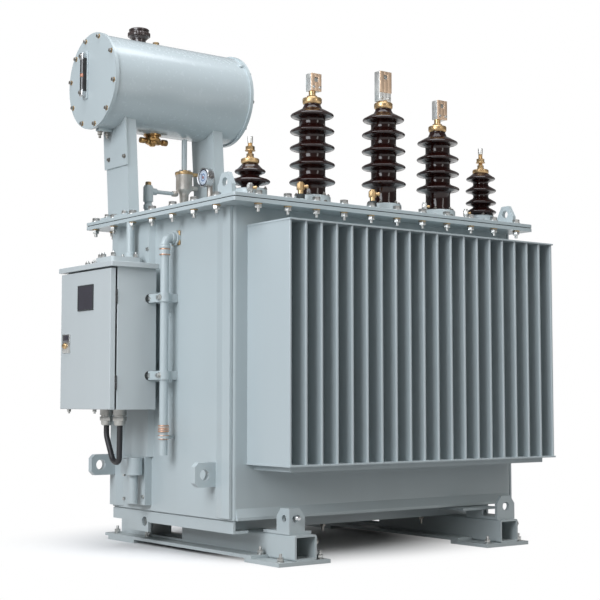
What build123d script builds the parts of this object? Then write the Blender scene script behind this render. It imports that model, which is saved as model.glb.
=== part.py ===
from build123d import *
import math
import os

# Power transformer with corrugated cooling walls, in millimetres.
# While it is built the origin is on the ground under the middle of the tank:
# +X runs along the tank, away from the control cabinet, -Y is the side with
# the longer row of fins, +Z is up. At the end everything is moved so that the
# origin is the middle of the footprint.

# Tank, rim, gasket and lid
tank_half_length = 650.0
tank_half_width = 401.0
tank_bottom = 140.0
tank_corner_radius = 14.0
rim_bottom = 1184.0
rim_thickness = 13.0
gasket_thickness = 3.0
gasket_inset = 4.0
lid_thickness = 12.0
lid_left = -716.0
lid_right = 680.0
lid_half_width = 503.0
rim_top = rim_bottom + rim_thickness
lid_bottom = rim_top + gasket_thickness
lid_top = lid_bottom + lid_thickness

# Stiffener and corner strips on each end wall of the tank
stiffener_half_width = 59.0
stiffener_depth = 20.0
stiffener_bevel = 11.0
stiffener_y = 168.0
stiffener_foot = 332.0
strip_edge = 306.0
strip_bevel = 46.0
strip_margin = 4.0
strip_thickness = 10.0
strip_foot_gap = 6.0

# Sloping skirt along the foot of each long wall
skirt_half_length = 636.0
skirt_height = 38.0
skirt_lip = 10.0
skirt_reach = 12.0

# Cooling fins
fin_count_front = 20
fin_count_rear = 18
fin_pitch = 64.4
fin_thickness = 10.0
fin_depth = 236.0
fin_bottom = 322.0
fin_top = 1122.0
fin_front_start = -592.0
fin_rear_start = -512.0
fin_plate_thickness = 6.0
fin_plate_overhang = 4.0
fin_support_height = 18.0
fin_support_setback = 34.0
fin_support_end = 30.0

# Base frame between the skids and the tank floor
skid_top = 96.0
base_beam_depth = 60.0
base_wall = 9.0
base_groove = 5.0
base_packing = 4.0
base_inset = 120.0
base_end_inset = 6.0
base_end_margin = 3.0

# Low plates with a hauling hole in the end beams, the right one turned about from the left
base_plate_near = 144.0
base_plate_far = 286.0
base_plate_foot = 62.0
base_hole_radius = 17.0
base_hole_y = 170.0
base_hole_z = 98.0

# Jacking plates between the tank floor and the right skid
jacking_plate_left = 330.0
jacking_plate_right = 500.0
jacking_plate_front = 470.0
jacking_plate_back = 337.0
jacking_plate_low = 128.0
jacking_plate_high = 137.0
jacking_web_left = 426.0
jacking_web_thickness = 8.0

# Skids: foot pads, side flanges and a square tube
skid_half_length = 568.0
skid_plate_width = 212.0
foot_pad_thickness = 13.0
foot_pad_length = 194.0
rear_pad_setback = 24.0
skid_flange_thickness = 11.0
skid_tube_width = 90.0
skid_tube_wall = 7.0
skid_tube_inset = 6.0
skid_tube_corner = 9.0
skid_window_near = 121.0
skid_window_far = 340.0
skid_window_low = 30.0
skid_window_high = 82.0
skid_window_corner = 6.0
skid_left_x = -477.0
skid_right_x = 462.0
skid_left_tube_x = -469.0
skid_right_tube_x = 474.0
hauling_pad_thickness = 10.0
hauling_pad_length = 146.0
hauling_plate = 12.0
hauling_across = 64.0
hauling_along = 71.0
hauling_height = 76.0
hauling_chamfer = 22.0
hauling_hole_radius = 12.0
hauling_hole_height = 42.0
hauling_hole_offset = 25.0
hauling_side_hole_offset = 30.0
hauling_setback = 36.0
towing_setback = 22.0
towing_hole_radius = 16.0
towing_hole_height = 38.0
anchor_hole_radius = 9.0
anchor_hole_margin = 26.0
anchor_hole_setback = 26.0
flange_setback = 154.0

# Oil conservator over the cabinet end
conservator_y = 365.0
conservator_z = 1733.0
conservator_radius = 176.0
conservator_flange_radius = 182.0
conservator_left = -772.0
conservator_right = -156.0
conservator_flange = 6.0
conservator_cover = 8.0

# Fittings on the conservator
filler_cap_x = -571.0
vent_plug_x = -495.0
drum_valve_x = -508.0
gauge_y = 413.0
gauge_low = 1679.0
gauge_high = 1847.0

# Legs under the conservator
leg_positions = (-682.0, -292.0)
leg_width = 156.0
leg_top_y = 352.0
leg_foot_y = 314.0
leg_plate = 8.0
leg_flange = 44.0
leg_foot_thickness = 10.0
leg_foot_margin = 22.0
leg_splice_bottom = 1408.0
leg_splice_overlap = 6.0

# Fittings on the lid
relay_x = -374.0
relay_y = 345.0
relay_pipe_radius = 11.5
relay_base_radius = 18.0
relay_base_low = 1262.0
relay_radius = 32.0
relay_low = 1350.0
relay_high = 1420.0
vent_post_x = -536.0
cross_pipe_z = 1362.0
dial_y = 214.0
dial_z = 1386.0
dial_radius = 38.0
dial_depth = 30.0
lug_positions = ((-680.0, -405.0), (640.0, -405.0), (-560.0, 456.0), (640.0, 456.0))
lug_half_width = 42.0
lug_height = 78.0
lug_half_thickness = 8.0
lug_hole_radius = 15.0
lug_hole_height = 46.0

# Bushings in a row near the front of the lid
bushing_y = -300.0
small_left_x = -511.7
tall_left_x = -239.5
tall_middle_x = 98.3
tall_right_x = 374.0
small_right_x = 606.0
porcelain_foot = 1213.0
clamp_top = 1262.0
tall_core = 48.0
small_core = 30.0
tall_clamp_radius = 68.0
terminal_thickness = 34.0
terminal_hole_radius = 7.0
terminal_hole_drop = 22.0

# Heights and radii of the sheds of each bushing
small_left_sheds = ((1290, 1326), (70, 54))
tall_left_sheds = ((1314, 1376, 1437, 1497, 1556), (84, 83, 82, 81, 78))
tall_middle_sheds = ((1338, 1402, 1462, 1525, 1582), (84, 83, 82, 81, 78))
tall_right_sheds = ((1345, 1404, 1463, 1527), (84, 83, 82, 79))
small_right_sheds = ((1313, 1362, 1411), (60, 60, 58))
tall_rise = 22.0
small_left_rise = 16.0
small_right_rise = 14.0

# Top of the porcelain of each bushing
small_left_cap = 1353.0
tall_left_cap = 1600.0
tall_middle_cap = 1627.0
tall_right_cap = 1573.0
small_right_cap = 1430.0

# Drilled blocks of the tall bushings: middle, width, bottom and top
tall_left_block = (-232.5, 46.0, 1644.0, 1708.0)
tall_middle_block = (97.5, 57.0, 1650.0, 1764.0)
tall_right_block = (386.0, 50.0, 1618.0, 1693.0)
small_left_top = 1448.0
small_right_top = 1532.0

# Lugs low on the cabinet end wall: y, reach from the wall, bottom and top
tank_lug_sizes = ((-290.0, 82.0, 246.0, 328.0), (372.0, 108.0, 258.0, 334.0))
tank_lug_half_thickness = 12.0
tank_lug_hole_radius = 19.0
tank_lug_hole_margin = 38.0

# Control cabinet on the end wall
cabinet_back = -685.0
cabinet_front = -843.0
cabinet_near = 30.0
cabinet_far = 398.0
cabinet_bottom = 502.0
cabinet_top = 1001.0
cabinet_sheet = 3.0
bracket_lows = (44.0, 262.0)
bracket_heights = (600.0, 880.0)
bracket_width = 34.0
bracket_height = 40.0
cabinet_edge = 2.5
door_thickness = 20.0
door_gap = 8.0
door_sheet = 3.0
door_top_gap = 6.0
roof_thickness = 18.0
roof_front_overhang = 5.0
roof_side_overhang = 15.0
door_front = cabinet_front - door_gap - door_thickness
roof_plate_thickness = 30.0
roof_plate_front = -812.0
roof_plate_near = 126.0
roof_plate_far = 252.0

# Window and latch of the door
window_near = 155.0
window_far = 263.0
window_low = 858.0
window_high = 942.0
window_thickness = 2.0
latch_near = 324.0
latch_far = 380.0
latch_low = 706.0
latch_high = 774.0
latch_thickness = 4.0
lock_y = 362.0
lock_radius = 9.0
lock_depth = 14.0

# Conduit from the cabinet roof to the rim
conduit_x = -701.0
conduit_y = 191.0
conduit_radius = 14.5

# Concealed hinges in the gap between the door and the cabinet
hinge_radius = 3.2
hinge_pin_radius = 1.8
hinge_play = 0.05
hinge_leaf = 14.0
hinge_leaf_thickness = 2.0
hinge_length = 50.0
hinge_heights = (570.0, 872.0)
hinge_x = cabinet_front - door_gap / 2
hinge_y = cabinet_near - 1.0

# Pipe on the end wall
side_pipe_x = -700.0
side_pipe_y = -48.0
side_pipe_radius = 15.0
side_pipe_foot = 344.0
side_pipe_elbow = 1106.0
side_pipe_flange = 27.0
side_pipe_bend = 26.0
pipe_clamp_heights = (878.0, 606.0)
pipe_clamp_height = 30.0

# Joints along that pipe: bottom, top and radius
side_pipe_joints = ((1046.0, 1062.0, 19.0), (424.0, 448.0, 18.0), (400.0, 412.0, 19.0))

# Drain valve low on the cabinet end wall
drain_x = -706.0
drain_y = 137.0
drain_radius = 28.0
drain_low = 268.0
drain_high = 330.0
drain_outlet_y = 146.0
drain_outlet_radius = 16.0
drain_outlet_bottom = 166.0
drain_pad_face = -677.0
drain_pad_near = 112.0
drain_pad_far = 268.0
drain_pad_bottom = 160.0
drain_shoe_width = 88.0
drain_shoe_step = 8.0

# Cable that loops between the two glands under the cabinet
cable_radius = 10.0
gland_x = -775.0
gland_far_y = 221.0
gland_near_y = 125.0
gland_foot = 440.0

# How far a cutting shape reaches past what it cuts
overcut = 10.0

parts = {}


def block(x_low, x_high, y_low, y_high, z_low, z_high):
    """Rectangular block between two corners."""
    box = Box(x_high - x_low, y_high - y_low, z_high - z_low)
    return Pos((x_low + x_high) / 2, (y_low + y_high) / 2, (z_low + z_high) / 2) * box


def post(x, y, z_low, z_high, radius):
    """Upright round bar."""
    bar = Cylinder(radius, z_high - z_low)
    return Pos(x, y, (z_low + z_high) / 2) * bar


def bar_along_x(x_low, x_high, y, z, radius):
    """Round bar along X."""
    bar = Rot(0, 90, 0) * Cylinder(radius, x_high - x_low)
    return Pos((x_low + x_high) / 2, y, z) * bar


def bar_along_y(y_low, y_high, x, z, radius):
    """Round bar along Y."""
    bar = Rot(90, 0, 0) * Cylinder(radius, y_high - y_low)
    return Pos(x, (y_low + y_high) / 2, z) * bar


def turned(profile):
    """Solid turned about Z from a closed outline of (radius, height) points."""
    outline = make_face(Plane.XZ * Polyline(*profile, close=True))
    return revolve(outline, Axis.Z)


def plate_facing_x(outline, x_low, x_high):
    """Flat plate between two X planes, from its (y, z) outline."""
    sketch = Plane.YZ * make_face(Polyline(*outline, close=True))
    return Pos(x_low, 0, 0) * extrude(sketch, x_high - x_low)


def plate_facing_y(outline, y_low, y_high):
    """Flat plate between two Y planes, from its (x, z) outline."""
    sketch = Plane.XZ * make_face(Polyline(*outline, close=True))
    return Pos(0, y_high, 0) * extrude(sketch, y_high - y_low)


def make_tank():
    """Welded tank, closed and full of core, coils and oil."""
    walls = block(-tank_half_length, tank_half_length, -tank_half_width, tank_half_width,
                  tank_bottom, rim_bottom)
    walls = fillet(walls.edges().filter_by(Axis.Z), tank_corner_radius)
    return walls


def make_stiffeners():
    """Folded upright stiffener with bevelled sides on each end wall."""
    inner = stiffener_half_width
    outer = stiffener_half_width + stiffener_bevel
    outline = [(-outer, 0), (outer, 0), (inner, stiffener_depth), (-inner, stiffener_depth)]
    section = make_face(Polyline(*outline, close=True))
    rib = extrude(section, rim_bottom - stiffener_foot)
    left = Pos(-tank_half_length, stiffener_y, stiffener_foot) * Rot(0, 0, 90) * rib
    right = Pos(tank_half_length, stiffener_y, stiffener_foot) * Rot(0, 0, -90) * rib
    return Compound([left.solid(), right.solid()])


def make_corner_strips():
    """Upright strips along the edges of the end walls, bevelled on their inner side."""
    strips = []
    outer = tank_half_width - strip_margin
    for side in (-1, 1):
        wall = side * tank_half_length
        face = side * (tank_half_length + strip_thickness)
        for edge in (-1, 1):
            outline = [(wall, edge * strip_edge), (wall, edge * outer), (face, edge * outer),
                       (face, edge * (strip_edge + strip_bevel))]
            section = make_face(Polyline(*outline, close=True))
            strip = extrude(section, rim_bottom - tank_bottom - strip_foot_gap, dir=(0, 0, 1))
            strips.append((Pos(0, 0, tank_bottom + strip_foot_gap) * strip).solid())
    return Compound(strips)


def make_skirts():
    """Sloping skirt along the foot of each long wall of the tank."""
    skirts = []
    for side in (-1, 1):
        wall = side * tank_half_width
        lip = side * (tank_half_width + skirt_reach)
        outline = [(wall, tank_bottom), (lip, tank_bottom), (lip, tank_bottom + skirt_lip),
                   (wall, tank_bottom + skirt_height)]
        skirt = plate_facing_x(outline, -skirt_half_length, skirt_half_length)
        skirts.append(skirt.solid())
    return Compound(skirts)


def make_rim():
    """Flat rim welded round the top of the tank."""
    rim = block(lid_left, lid_right, -lid_half_width, lid_half_width, rim_bottom, rim_top)
    return fillet(rim.edges().filter_by(Axis.Z), 6)


def make_gasket():
    """Dark sealing sheet between the rim and the lid."""
    return block(lid_left + gasket_inset, lid_right - gasket_inset,
                 -lid_half_width + gasket_inset, lid_half_width - gasket_inset, rim_top, lid_bottom)


def make_lid():
    """Flat bolted lid."""
    lid = block(lid_left, lid_right, -lid_half_width, lid_half_width, lid_bottom, lid_top)
    lid = fillet(lid.edges().filter_by(Axis.Z), 6)
    return fillet(lid.faces().sort_by(Axis.Z)[-1].edges(), 1.5)


def make_fins(count, start, side):
    """Row of flat hollow fins with rounded fronts; side is -1 in front, +1 behind."""
    fins = []
    for number in range(count):
        x = start + number * fin_pitch
        root = side * tank_half_width
        tip = side * (tank_half_width + fin_depth)
        fin = block(x, x + fin_thickness, min(root, tip), max(root, tip),
                    fin_bottom + fin_plate_thickness, fin_top - fin_plate_thickness)
        front = fin.faces().sort_by(Axis.Y)[0 if side < 0 else -1]
        fin = fillet(front.edges().filter_by(Axis.Z), fin_thickness * 0.45)
        fins.append(fin.solid())
    return Compound(fins)


def make_fin_plates():
    """Flat plates that close the fins at the top and at the bottom."""
    plates = []
    for count, start, side in ((fin_count_front, fin_front_start, -1),
                               (fin_count_rear, fin_rear_start, 1)):
        end = start + (count - 1) * fin_pitch + fin_thickness
        root = side * tank_half_width
        tip = side * (tank_half_width + fin_depth)
        tip = tip + side * fin_plate_overhang
        for z in (fin_bottom, fin_top - fin_plate_thickness):
            plate = block(start - 2, end + 2, min(root, tip), max(root, tip),
                          z, z + fin_plate_thickness)
            plate = fillet(plate.edges().filter_by(Axis.X), 1.2)
            plates.append(plate.solid())
    return Compound(plates)


def make_fin_supports():
    """Flat bars under each row of fins: one near the fronts, two short ones to the tank."""
    supports = []
    for count, start, side in ((fin_count_front, fin_front_start, -1),
                               (fin_count_rear, fin_rear_start, 1)):
        left = start + fin_support_end
        right = start + (count - 1) * fin_pitch + fin_thickness - fin_support_end
        low = fin_bottom - fin_support_height
        root = side * tank_half_width
        outer = side * (tank_half_width + fin_depth - fin_support_setback)
        inner = outer - side * 12
        bar = block(left, right, min(outer, inner), max(outer, inner), low, fin_bottom)
        supports.append(bar.solid())
        for x in (left, right - 12):
            strut = block(x, x + 12, min(root, inner), max(root, inner), low, fin_bottom)
            supports.append(strut.solid())
    return Compound(supports)


def packing_strip(side, low, high):
    """Strip that carries the tank on an end beam, set back so that a groove is left."""
    back = side * (tank_half_length - base_end_inset - base_wall)
    front = back + side * base_packing
    return block(min(back, front), max(back, front), low, high,
                 tank_bottom - base_groove, tank_bottom)


def make_base_beams():
    """Channel beams that run along under the tank floor."""
    beams = []
    outer_y = tank_half_width - base_inset
    half_length = tank_half_length - base_end_inset - base_beam_depth
    for side in (-1, 1):
        face = side * outer_y
        web_back = side * (outer_y - base_wall)
        foot_back = side * (outer_y - base_beam_depth)
        web = block(-half_length, half_length, min(face, web_back), max(face, web_back),
                    skid_top, tank_bottom)
        foot = block(-half_length, half_length, min(face, foot_back), max(face, foot_back),
                     skid_top, skid_top + base_wall)
        beams.append((web + foot).solid())
    return Compound(beams)


def make_end_beams():
    """Channel beams across both ends; the right one stops at the far edge of its low plate."""
    beams = []
    left_end = tank_half_width - base_end_margin
    spans = ((-1, -left_end, base_plate_near), (-1, base_plate_far, left_end),
             (1, -base_plate_near, base_plate_far))
    for side, low, high in spans:
        face = side * (tank_half_length - base_end_inset)
        web_back = face - side * base_wall
        foot_back = face - side * base_beam_depth
        web = block(min(face, web_back), max(face, web_back), low, high,
                    skid_top, tank_bottom - base_groove)
        foot = block(min(face, foot_back), max(face, foot_back), low, high,
                     skid_top, skid_top + base_wall)
        beams.append((web + foot + packing_strip(side, low, high)).solid())
    return Compound(beams)


def make_end_plates():
    """Low plates with a hauling hole, one in the gap of each end beam."""
    plates = []
    end_x = tank_half_length - base_end_inset
    for side in (-1, 1):
        face = side * end_x
        back = side * (end_x - base_wall)
        near = -side * base_plate_near
        far = -side * base_plate_far
        plate = block(min(face, back), max(face, back), min(near, far), max(near, far),
                      base_plate_foot, tank_bottom - base_groove)
        hole = bar_along_x(min(face, back) - overcut, max(face, back) + overcut,
                           -side * base_hole_y, base_hole_z, base_hole_radius)
        packing = packing_strip(side, min(near, far), max(near, far))
        plates.append((plate - hole + packing).solid())
    return Compound(plates)


def make_jacking_plates():
    """Flat plates on a web, which reach out from under the tank over the right skid."""
    plates = []
    web_end = skid_half_length - hauling_setback - hauling_pad_length
    web_right = jacking_web_left + jacking_web_thickness
    for side in (-1, 1):
        front = side * jacking_plate_front
        back = side * jacking_plate_back
        plate = block(jacking_plate_left, jacking_plate_right, min(front, back), max(front, back),
                      jacking_plate_low, jacking_plate_high)
        web = block(jacking_web_left, web_right, min(front, side * web_end),
                    max(front, side * web_end), skid_top + hauling_pad_thickness,
                    jacking_plate_low)
        plates.append((plate + web).solid())
    return Compound(plates)


def make_foot_pads():
    """Flat pads that carry the skids on the ground, each with two anchor holes."""
    pads = []
    half = skid_plate_width / 2
    front = -skid_half_length
    rear = skid_half_length - rear_pad_setback
    for x in (skid_left_x, skid_right_x):
        for low, hole_y in ((front, front + anchor_hole_setback),
                            (rear - foot_pad_length, rear - anchor_hole_setback)):
            pad = block(x - half, x + half, low, low + foot_pad_length, 0, foot_pad_thickness)
            for dx in (-half + anchor_hole_margin, half - anchor_hole_margin):
                pad = pad - post(x + dx, hole_y, -overcut, foot_pad_thickness + overcut,
                                 anchor_hole_radius)
            pads.append(pad.solid())
    return Compound(pads)


def make_skid_flanges():
    """Flat flanges along both sides of each skid tube, clear of the front anchor holes."""
    flanges = []
    low = foot_pad_thickness
    high = foot_pad_thickness + skid_flange_thickness
    front = -skid_half_length + flange_setback
    for x, tube_x in ((skid_left_x, skid_left_tube_x), (skid_right_x, skid_right_tube_x)):
        half = skid_plate_width / 2
        tube = skid_tube_width / 2
        for start, end in ((x - half, tube_x - tube), (tube_x + tube, x + half)):
            flange = block(start, end, front, skid_half_length, low, high)
            outer = start if start < tube_x - tube else end
            hole_x = outer + (anchor_hole_margin if outer == start else -anchor_hole_margin)
            hole_y = skid_half_length - rear_pad_setback - anchor_hole_setback
            flange = flange - post(hole_x, hole_y, low - overcut, high + overcut,
                                   anchor_hole_radius)
            flanges.append(flange.solid())
    return Compound(flanges)


def make_skid_tube(x):
    """Square tube, open at both ends, with a slot for lifting forks through both sides."""
    half = skid_tube_width / 2
    length = skid_half_length - skid_tube_inset
    outer = block(x - half, x + half, -length, length, foot_pad_thickness, skid_top)
    outer = fillet(outer.edges().filter_by(Axis.Y), skid_tube_corner)
    inner = block(x - half + skid_tube_wall, x + half - skid_tube_wall, -length - overcut,
                  length + overcut, foot_pad_thickness + skid_tube_wall,
                  skid_top - skid_tube_wall)
    inner = fillet(inner.edges().filter_by(Axis.Y), 3)
    slot = block(x - half - overcut, x + half + overcut, skid_window_near, skid_window_far,
                 skid_window_low, skid_window_high)
    slot = fillet(slot.edges().filter_by(Axis.X), skid_window_corner)
    return (outer - inner - slot).solid()


def leaf_outline(root, reach, low):
    """Outline of one leaf of a hauling bracket, its outer top corner cut off."""
    high = low + hauling_height
    cut = math.copysign(hauling_chamfer, reach)
    return [(root, low), (root + reach, low), (root + reach, high - hauling_chamfer * 1.3),
            (root + reach - cut, high), (root, high)]


def make_angle_bracket(side):
    """Angle bracket on one end of the left skid, on a pad, with a hole in each leaf."""
    low = skid_top + hauling_pad_thickness
    hole_z = low + hauling_hole_height
    corner_x = skid_left_tube_x - skid_tube_width / 2
    far_x = skid_left_tube_x + skid_tube_width / 2
    plate_x = corner_x + hauling_plate
    corner_y = side * (skid_half_length - hauling_setback)
    plate_y = corner_y - side * hauling_plate
    pad_end = corner_y - side * hauling_pad_length
    pad = block(corner_x, far_x, min(corner_y, pad_end), max(corner_y, pad_end), skid_top, low)
    across = plate_facing_y(leaf_outline(corner_x, hauling_across, low),
                            min(corner_y, plate_y), max(corner_y, plate_y))
    along = plate_facing_x(leaf_outline(corner_y, -side * hauling_along, low), corner_x, plate_x)
    hole = bar_along_y(min(corner_y, plate_y) - overcut, max(corner_y, plate_y) + overcut,
                       corner_x + hauling_hole_offset, hole_z, hauling_hole_radius)
    side_hole = bar_along_x(corner_x - overcut, plate_x + overcut,
                            corner_y - side * hauling_side_hole_offset, hole_z,
                            hauling_hole_radius)
    return (pad + across + along - hole - side_hole).solid()


def make_towing_lug(side):
    """Plate as wide as the tube on one end of the right skid, its top corners cut off."""
    low = skid_top + hauling_pad_thickness
    high = low + hauling_height
    left = skid_right_tube_x - skid_tube_width / 2
    right = skid_right_tube_x + skid_tube_width / 2
    face = side * (skid_half_length - towing_setback)
    back = face - side * hauling_plate
    pad_end = side * (skid_half_length - hauling_setback - hauling_pad_length)
    shoulder = high - hauling_chamfer * 1.3
    outline = [(left, low), (right, low), (right, shoulder), (right - hauling_chamfer, high),
               (left + hauling_chamfer, high), (left, shoulder)]
    pad = block(left, right, min(face, pad_end), max(face, pad_end), skid_top, low)
    plate = plate_facing_y(outline, min(face, back), max(face, back))
    hole = bar_along_y(min(face, back) - overcut, max(face, back) + overcut, skid_right_tube_x,
                       low + towing_hole_height, towing_hole_radius)
    return (pad + plate - hole).solid()


def make_hauling_lugs():
    """Fittings on the four ends of the skids for ropes and shackles."""
    lugs = []
    for side in (-1, 1):
        lugs.append(make_angle_bracket(side))
        lugs.append(make_towing_lug(side))
    return Compound(lugs)


def make_tank_lugs():
    """Plates with a large hole, low on the cabinet end wall, for moving the tank."""
    lugs = []
    for y, reach, low, high in tank_lug_sizes:
        tip = -tank_half_length - reach
        root = -tank_half_length
        if abs(y) > strip_edge:
            root = root - strip_thickness
        half = tank_lug_half_thickness
        plate = block(tip, root, y - half, y + half, low, high)
        plate = plate - bar_along_y(y - half - overcut, y + half + overcut,
                                    tip + tank_lug_hole_margin, (low + high) / 2,
                                    tank_lug_hole_radius)
        edge = plate.faces().sort_by(Axis.X)[0]
        plate = chamfer(edge.edges().filter_by(Axis.Y), 14)
        lugs.append(plate.solid())
    return Compound(lugs)


def make_lifting_lugs():
    """Lifting plates with a hole at the four corners of the lid."""
    lugs = []
    shoulder = lid_top + 36
    top = lid_top + lug_height
    half = lug_half_thickness
    for x, y in lug_positions:
        low = y - lug_half_width
        high = y + lug_half_width
        outline = [(low, lid_top), (high, lid_top), (high, shoulder), (y + 18, top),
                   (y - 18, top), (low, shoulder)]
        plate = plate_facing_x(outline, x - half, x + half)
        hole = bar_along_x(x - half - overcut, x + half + overcut, y,
                           lid_top + lug_hole_height, lug_hole_radius)
        lugs.append((plate - hole).solid())
    return Compound(lugs)


def make_barrel():
    """Rolled drum of the oil conservator."""
    left = conservator_left + conservator_cover
    right = conservator_right - conservator_cover
    drum = bar_along_x(left, right, conservator_y, conservator_z, conservator_radius)
    for low, high in ((left, left + conservator_flange), (right - conservator_flange, right)):
        drum = drum + bar_along_x(low, high, conservator_y, conservator_z,
                                  conservator_flange_radius)
    return drum.solid()


def drum_space():
    """The room that the drum takes up, cut from what is welded on to it."""
    return bar_along_x(conservator_left, conservator_right, conservator_y, conservator_z,
                       conservator_radius)


def make_end_cover(low):
    """Round bolted cover of the conservator."""
    return bar_along_x(low, low + conservator_cover, conservator_y, conservator_z,
                       conservator_flange_radius).solid()


def make_leg(x):
    """Folded plate with two flanges, cut round under the drum, on a foot plate."""
    foot_low = leg_foot_y - leg_width / 2
    foot_high = leg_foot_y + leg_width / 2
    top_low = leg_top_y - leg_width / 2
    top_high = leg_top_y + leg_width / 2
    base = lid_top + leg_foot_thickness
    top = conservator_z - 60
    edge = leg_plate
    web = plate_facing_x([(foot_low, base), (foot_high, base), (top_high, top), (top_low, top)],
                         x, x + leg_plate)
    front = plate_facing_x([(foot_low, base), (foot_low + edge, base), (top_low + edge, top),
                            (top_low, top)], x, x + leg_flange)
    rear = plate_facing_x([(foot_high - edge, base), (foot_high, base), (top_high, top),
                           (top_high - edge, top)], x, x + leg_flange)
    margin = leg_foot_margin
    foot = block(x - margin, x + leg_flange + margin, foot_low - margin, foot_high + margin,
                 lid_top, base)
    leg = web + front + rear + foot
    if x == leg_positions[0]:
        low = leg_splice_bottom
        share = (low - base) / (top - base)
        shift = (top_low - foot_low) * share
        overlap = leg_splice_overlap
        splice = [(foot_low + shift - overlap, low), (foot_high + shift + overlap, low),
                  (top_high + overlap, top), (top_low - overlap, top)]
        leg = leg + plate_facing_x(splice, x - overlap, x)
    return (leg - drum_space()).solid()


def make_oil_gauge():
    """Oil level gauge on the conservator cover: tube between two end blocks."""
    face = conservator_left
    y = gauge_y
    low = gauge_low
    high = gauge_high
    back = block(face - 5, face, y - 19, y + 19, low - 8, high + 8)
    lower = block(face - 26, face - 5, y - 13, y + 13, low, low + 30)
    upper = block(face - 26, face - 5, y - 13, y + 13, high - 30, high)
    tube = post(face - 16, y, low + 25, high - 25, 9)
    return (back + lower + upper + tube).solid()


def make_filler_cap():
    """Screwed filler cap on top of the conservator."""
    top = conservator_z + conservator_radius
    neck = turned([(0, -12), (27, -12), (27, 12), (38, 14), (42, 22), (39, 34), (33, 54), (0, 54)])
    return (Pos(filler_cap_x, conservator_y, top) * neck - drum_space()).solid()


def make_vent_plug():
    """Small brass plug on top of the conservator."""
    plug = turned([(0, -6), (14, -6), (14, 8), (12, 10), (12, 15), (0, 15)])
    plug = Pos(vent_plug_x, conservator_y, conservator_z + conservator_radius) * plug
    return (plug - drum_space()).solid()


def make_conservator_valve():
    """Drain valve with a cross handle under the conservator."""
    bottom = conservator_z - conservator_radius
    x = drum_valve_x
    z = bottom - 18
    body = turned([(0, -25), (14, -25), (20, -19), (39, -12), (39, 6), (31, 8), (31, 22), (0, 22)])
    body = Pos(x, conservator_y, z) * body
    handle = bar_along_x(x - 60, x + 66, conservator_y, z - 3, 9)
    return (body + handle - drum_space()).solid()


def make_relay():
    """Gas relay in the pipe from the conservator down to the lid."""
    x = relay_x
    y = relay_y
    pipe = post(x, y, lid_top, conservator_z - conservator_radius + 2, relay_pipe_radius)
    foot = post(x, y, lid_top, lid_top + 10, 30)
    base = post(x, y, relay_base_low, relay_low, relay_base_radius)
    body = post(x, y, relay_low, relay_high, relay_radius)
    top = post(x, y, relay_high, relay_high + 10, relay_radius + 4)
    bar = block(x, x + 60, y - 8, y + 8, relay_high - 8, relay_high + 4)
    return (pipe + foot + base + body + top + bar - drum_space()).solid()


def make_vent_post():
    """Upright fitting on the lid with a pipe across to the relay."""
    x = vent_post_x
    y = relay_y
    body = turned([(0, 0), (26, 0), (26, 10), (15, 10), (15, 80), (19, 82), (19, 138), (13, 158),
                   (0, 158)])
    body = Pos(x, y, lid_top) * body
    pipe = bar_along_x(x, relay_x - relay_radius - 1, y, cross_pipe_z, 7)
    return (body + pipe).solid()


def make_thermometer():
    """Dial thermometer on a stem from the lid, dial towards the cabinet end."""
    x = relay_x
    y = dial_y
    z = dial_z
    dial = bar_along_x(x, x + dial_depth, y, z, dial_radius)
    neck = bar_along_x(x + dial_depth, x + dial_depth + 14, y, z, 20)
    stem = post(x + 34, y, lid_top, z + 10, 15)
    foot = post(x + 34, y, lid_top, lid_top + 16, 22)
    return (dial + neck + stem + foot).solid()


def shed_profile(core, rims, low, high, radii, rise):
    """Outline of a porcelain body: a core with one sloping shed at each rim height."""
    points = [(0, low), (core + 4, low), (core + 4, low + 8), (core, low + 12)]
    for height, radius in zip(rims, radii):
        points.append((core, height - 12))
        points.append((radius - 6, height - 8))
        points.append((radius, height - 3))
        points.append((radius, height + 2))
        points.append((core, height + rise))
    points.append((core - 8, high))
    points.append((0, high))
    return points


def make_porcelain(x, sheds, core, high, rise):
    """Porcelain body of a bushing, down through the clamp to the lid."""
    body = turned(shed_profile(core, sheds[0], porcelain_foot, high, sheds[1], rise))
    return (Pos(x, bushing_y, 0) * body).solid()


def make_bushing_clamps():
    """Round clamping rings that hold the bushings, on short posts from the lid."""
    rings = []
    for x, ring, core in ((small_left_x, 62, small_core),
                          (tall_left_x, tall_clamp_radius, tall_core),
                          (tall_middle_x, tall_clamp_radius, tall_core),
                          (tall_right_x, tall_clamp_radius, tall_core),
                          (small_right_x, 52, small_core)):
        outer = post(x, bushing_y, lid_top, clamp_top, ring)
        bore = post(x, bushing_y, lid_top - overcut, clamp_top + overcut, core + 4)
        rings.append((outer - bore).solid())
    return Compound(rings)


def make_terminals():
    """Brass caps and drilled terminal blocks of the three tall bushings."""
    solids = []
    half = terminal_thickness / 2
    for x, cap, sizes in ((tall_left_x, tall_left_cap, tall_left_block),
                          (tall_middle_x, tall_middle_cap, tall_middle_block),
                          (tall_right_x, tall_right_cap, tall_right_block)):
        middle, width, low, high = sizes
        body = turned([(0, cap), (34, cap), (36, cap + 4), (36, cap + 14), (20, cap + 20),
                       (20, low + 4), (0, low + 4)])
        body = Pos(x, bushing_y, 0) * body
        flag = block(middle - width / 2, middle + width / 2, bushing_y - half, bushing_y + half,
                     low, high)
        hole = bar_along_y(bushing_y - half - overcut, bushing_y + half + overcut, middle,
                           high - terminal_hole_drop, terminal_hole_radius)
        solids.append((body + flag - hole).solid())
    return Compound(solids)


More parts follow.
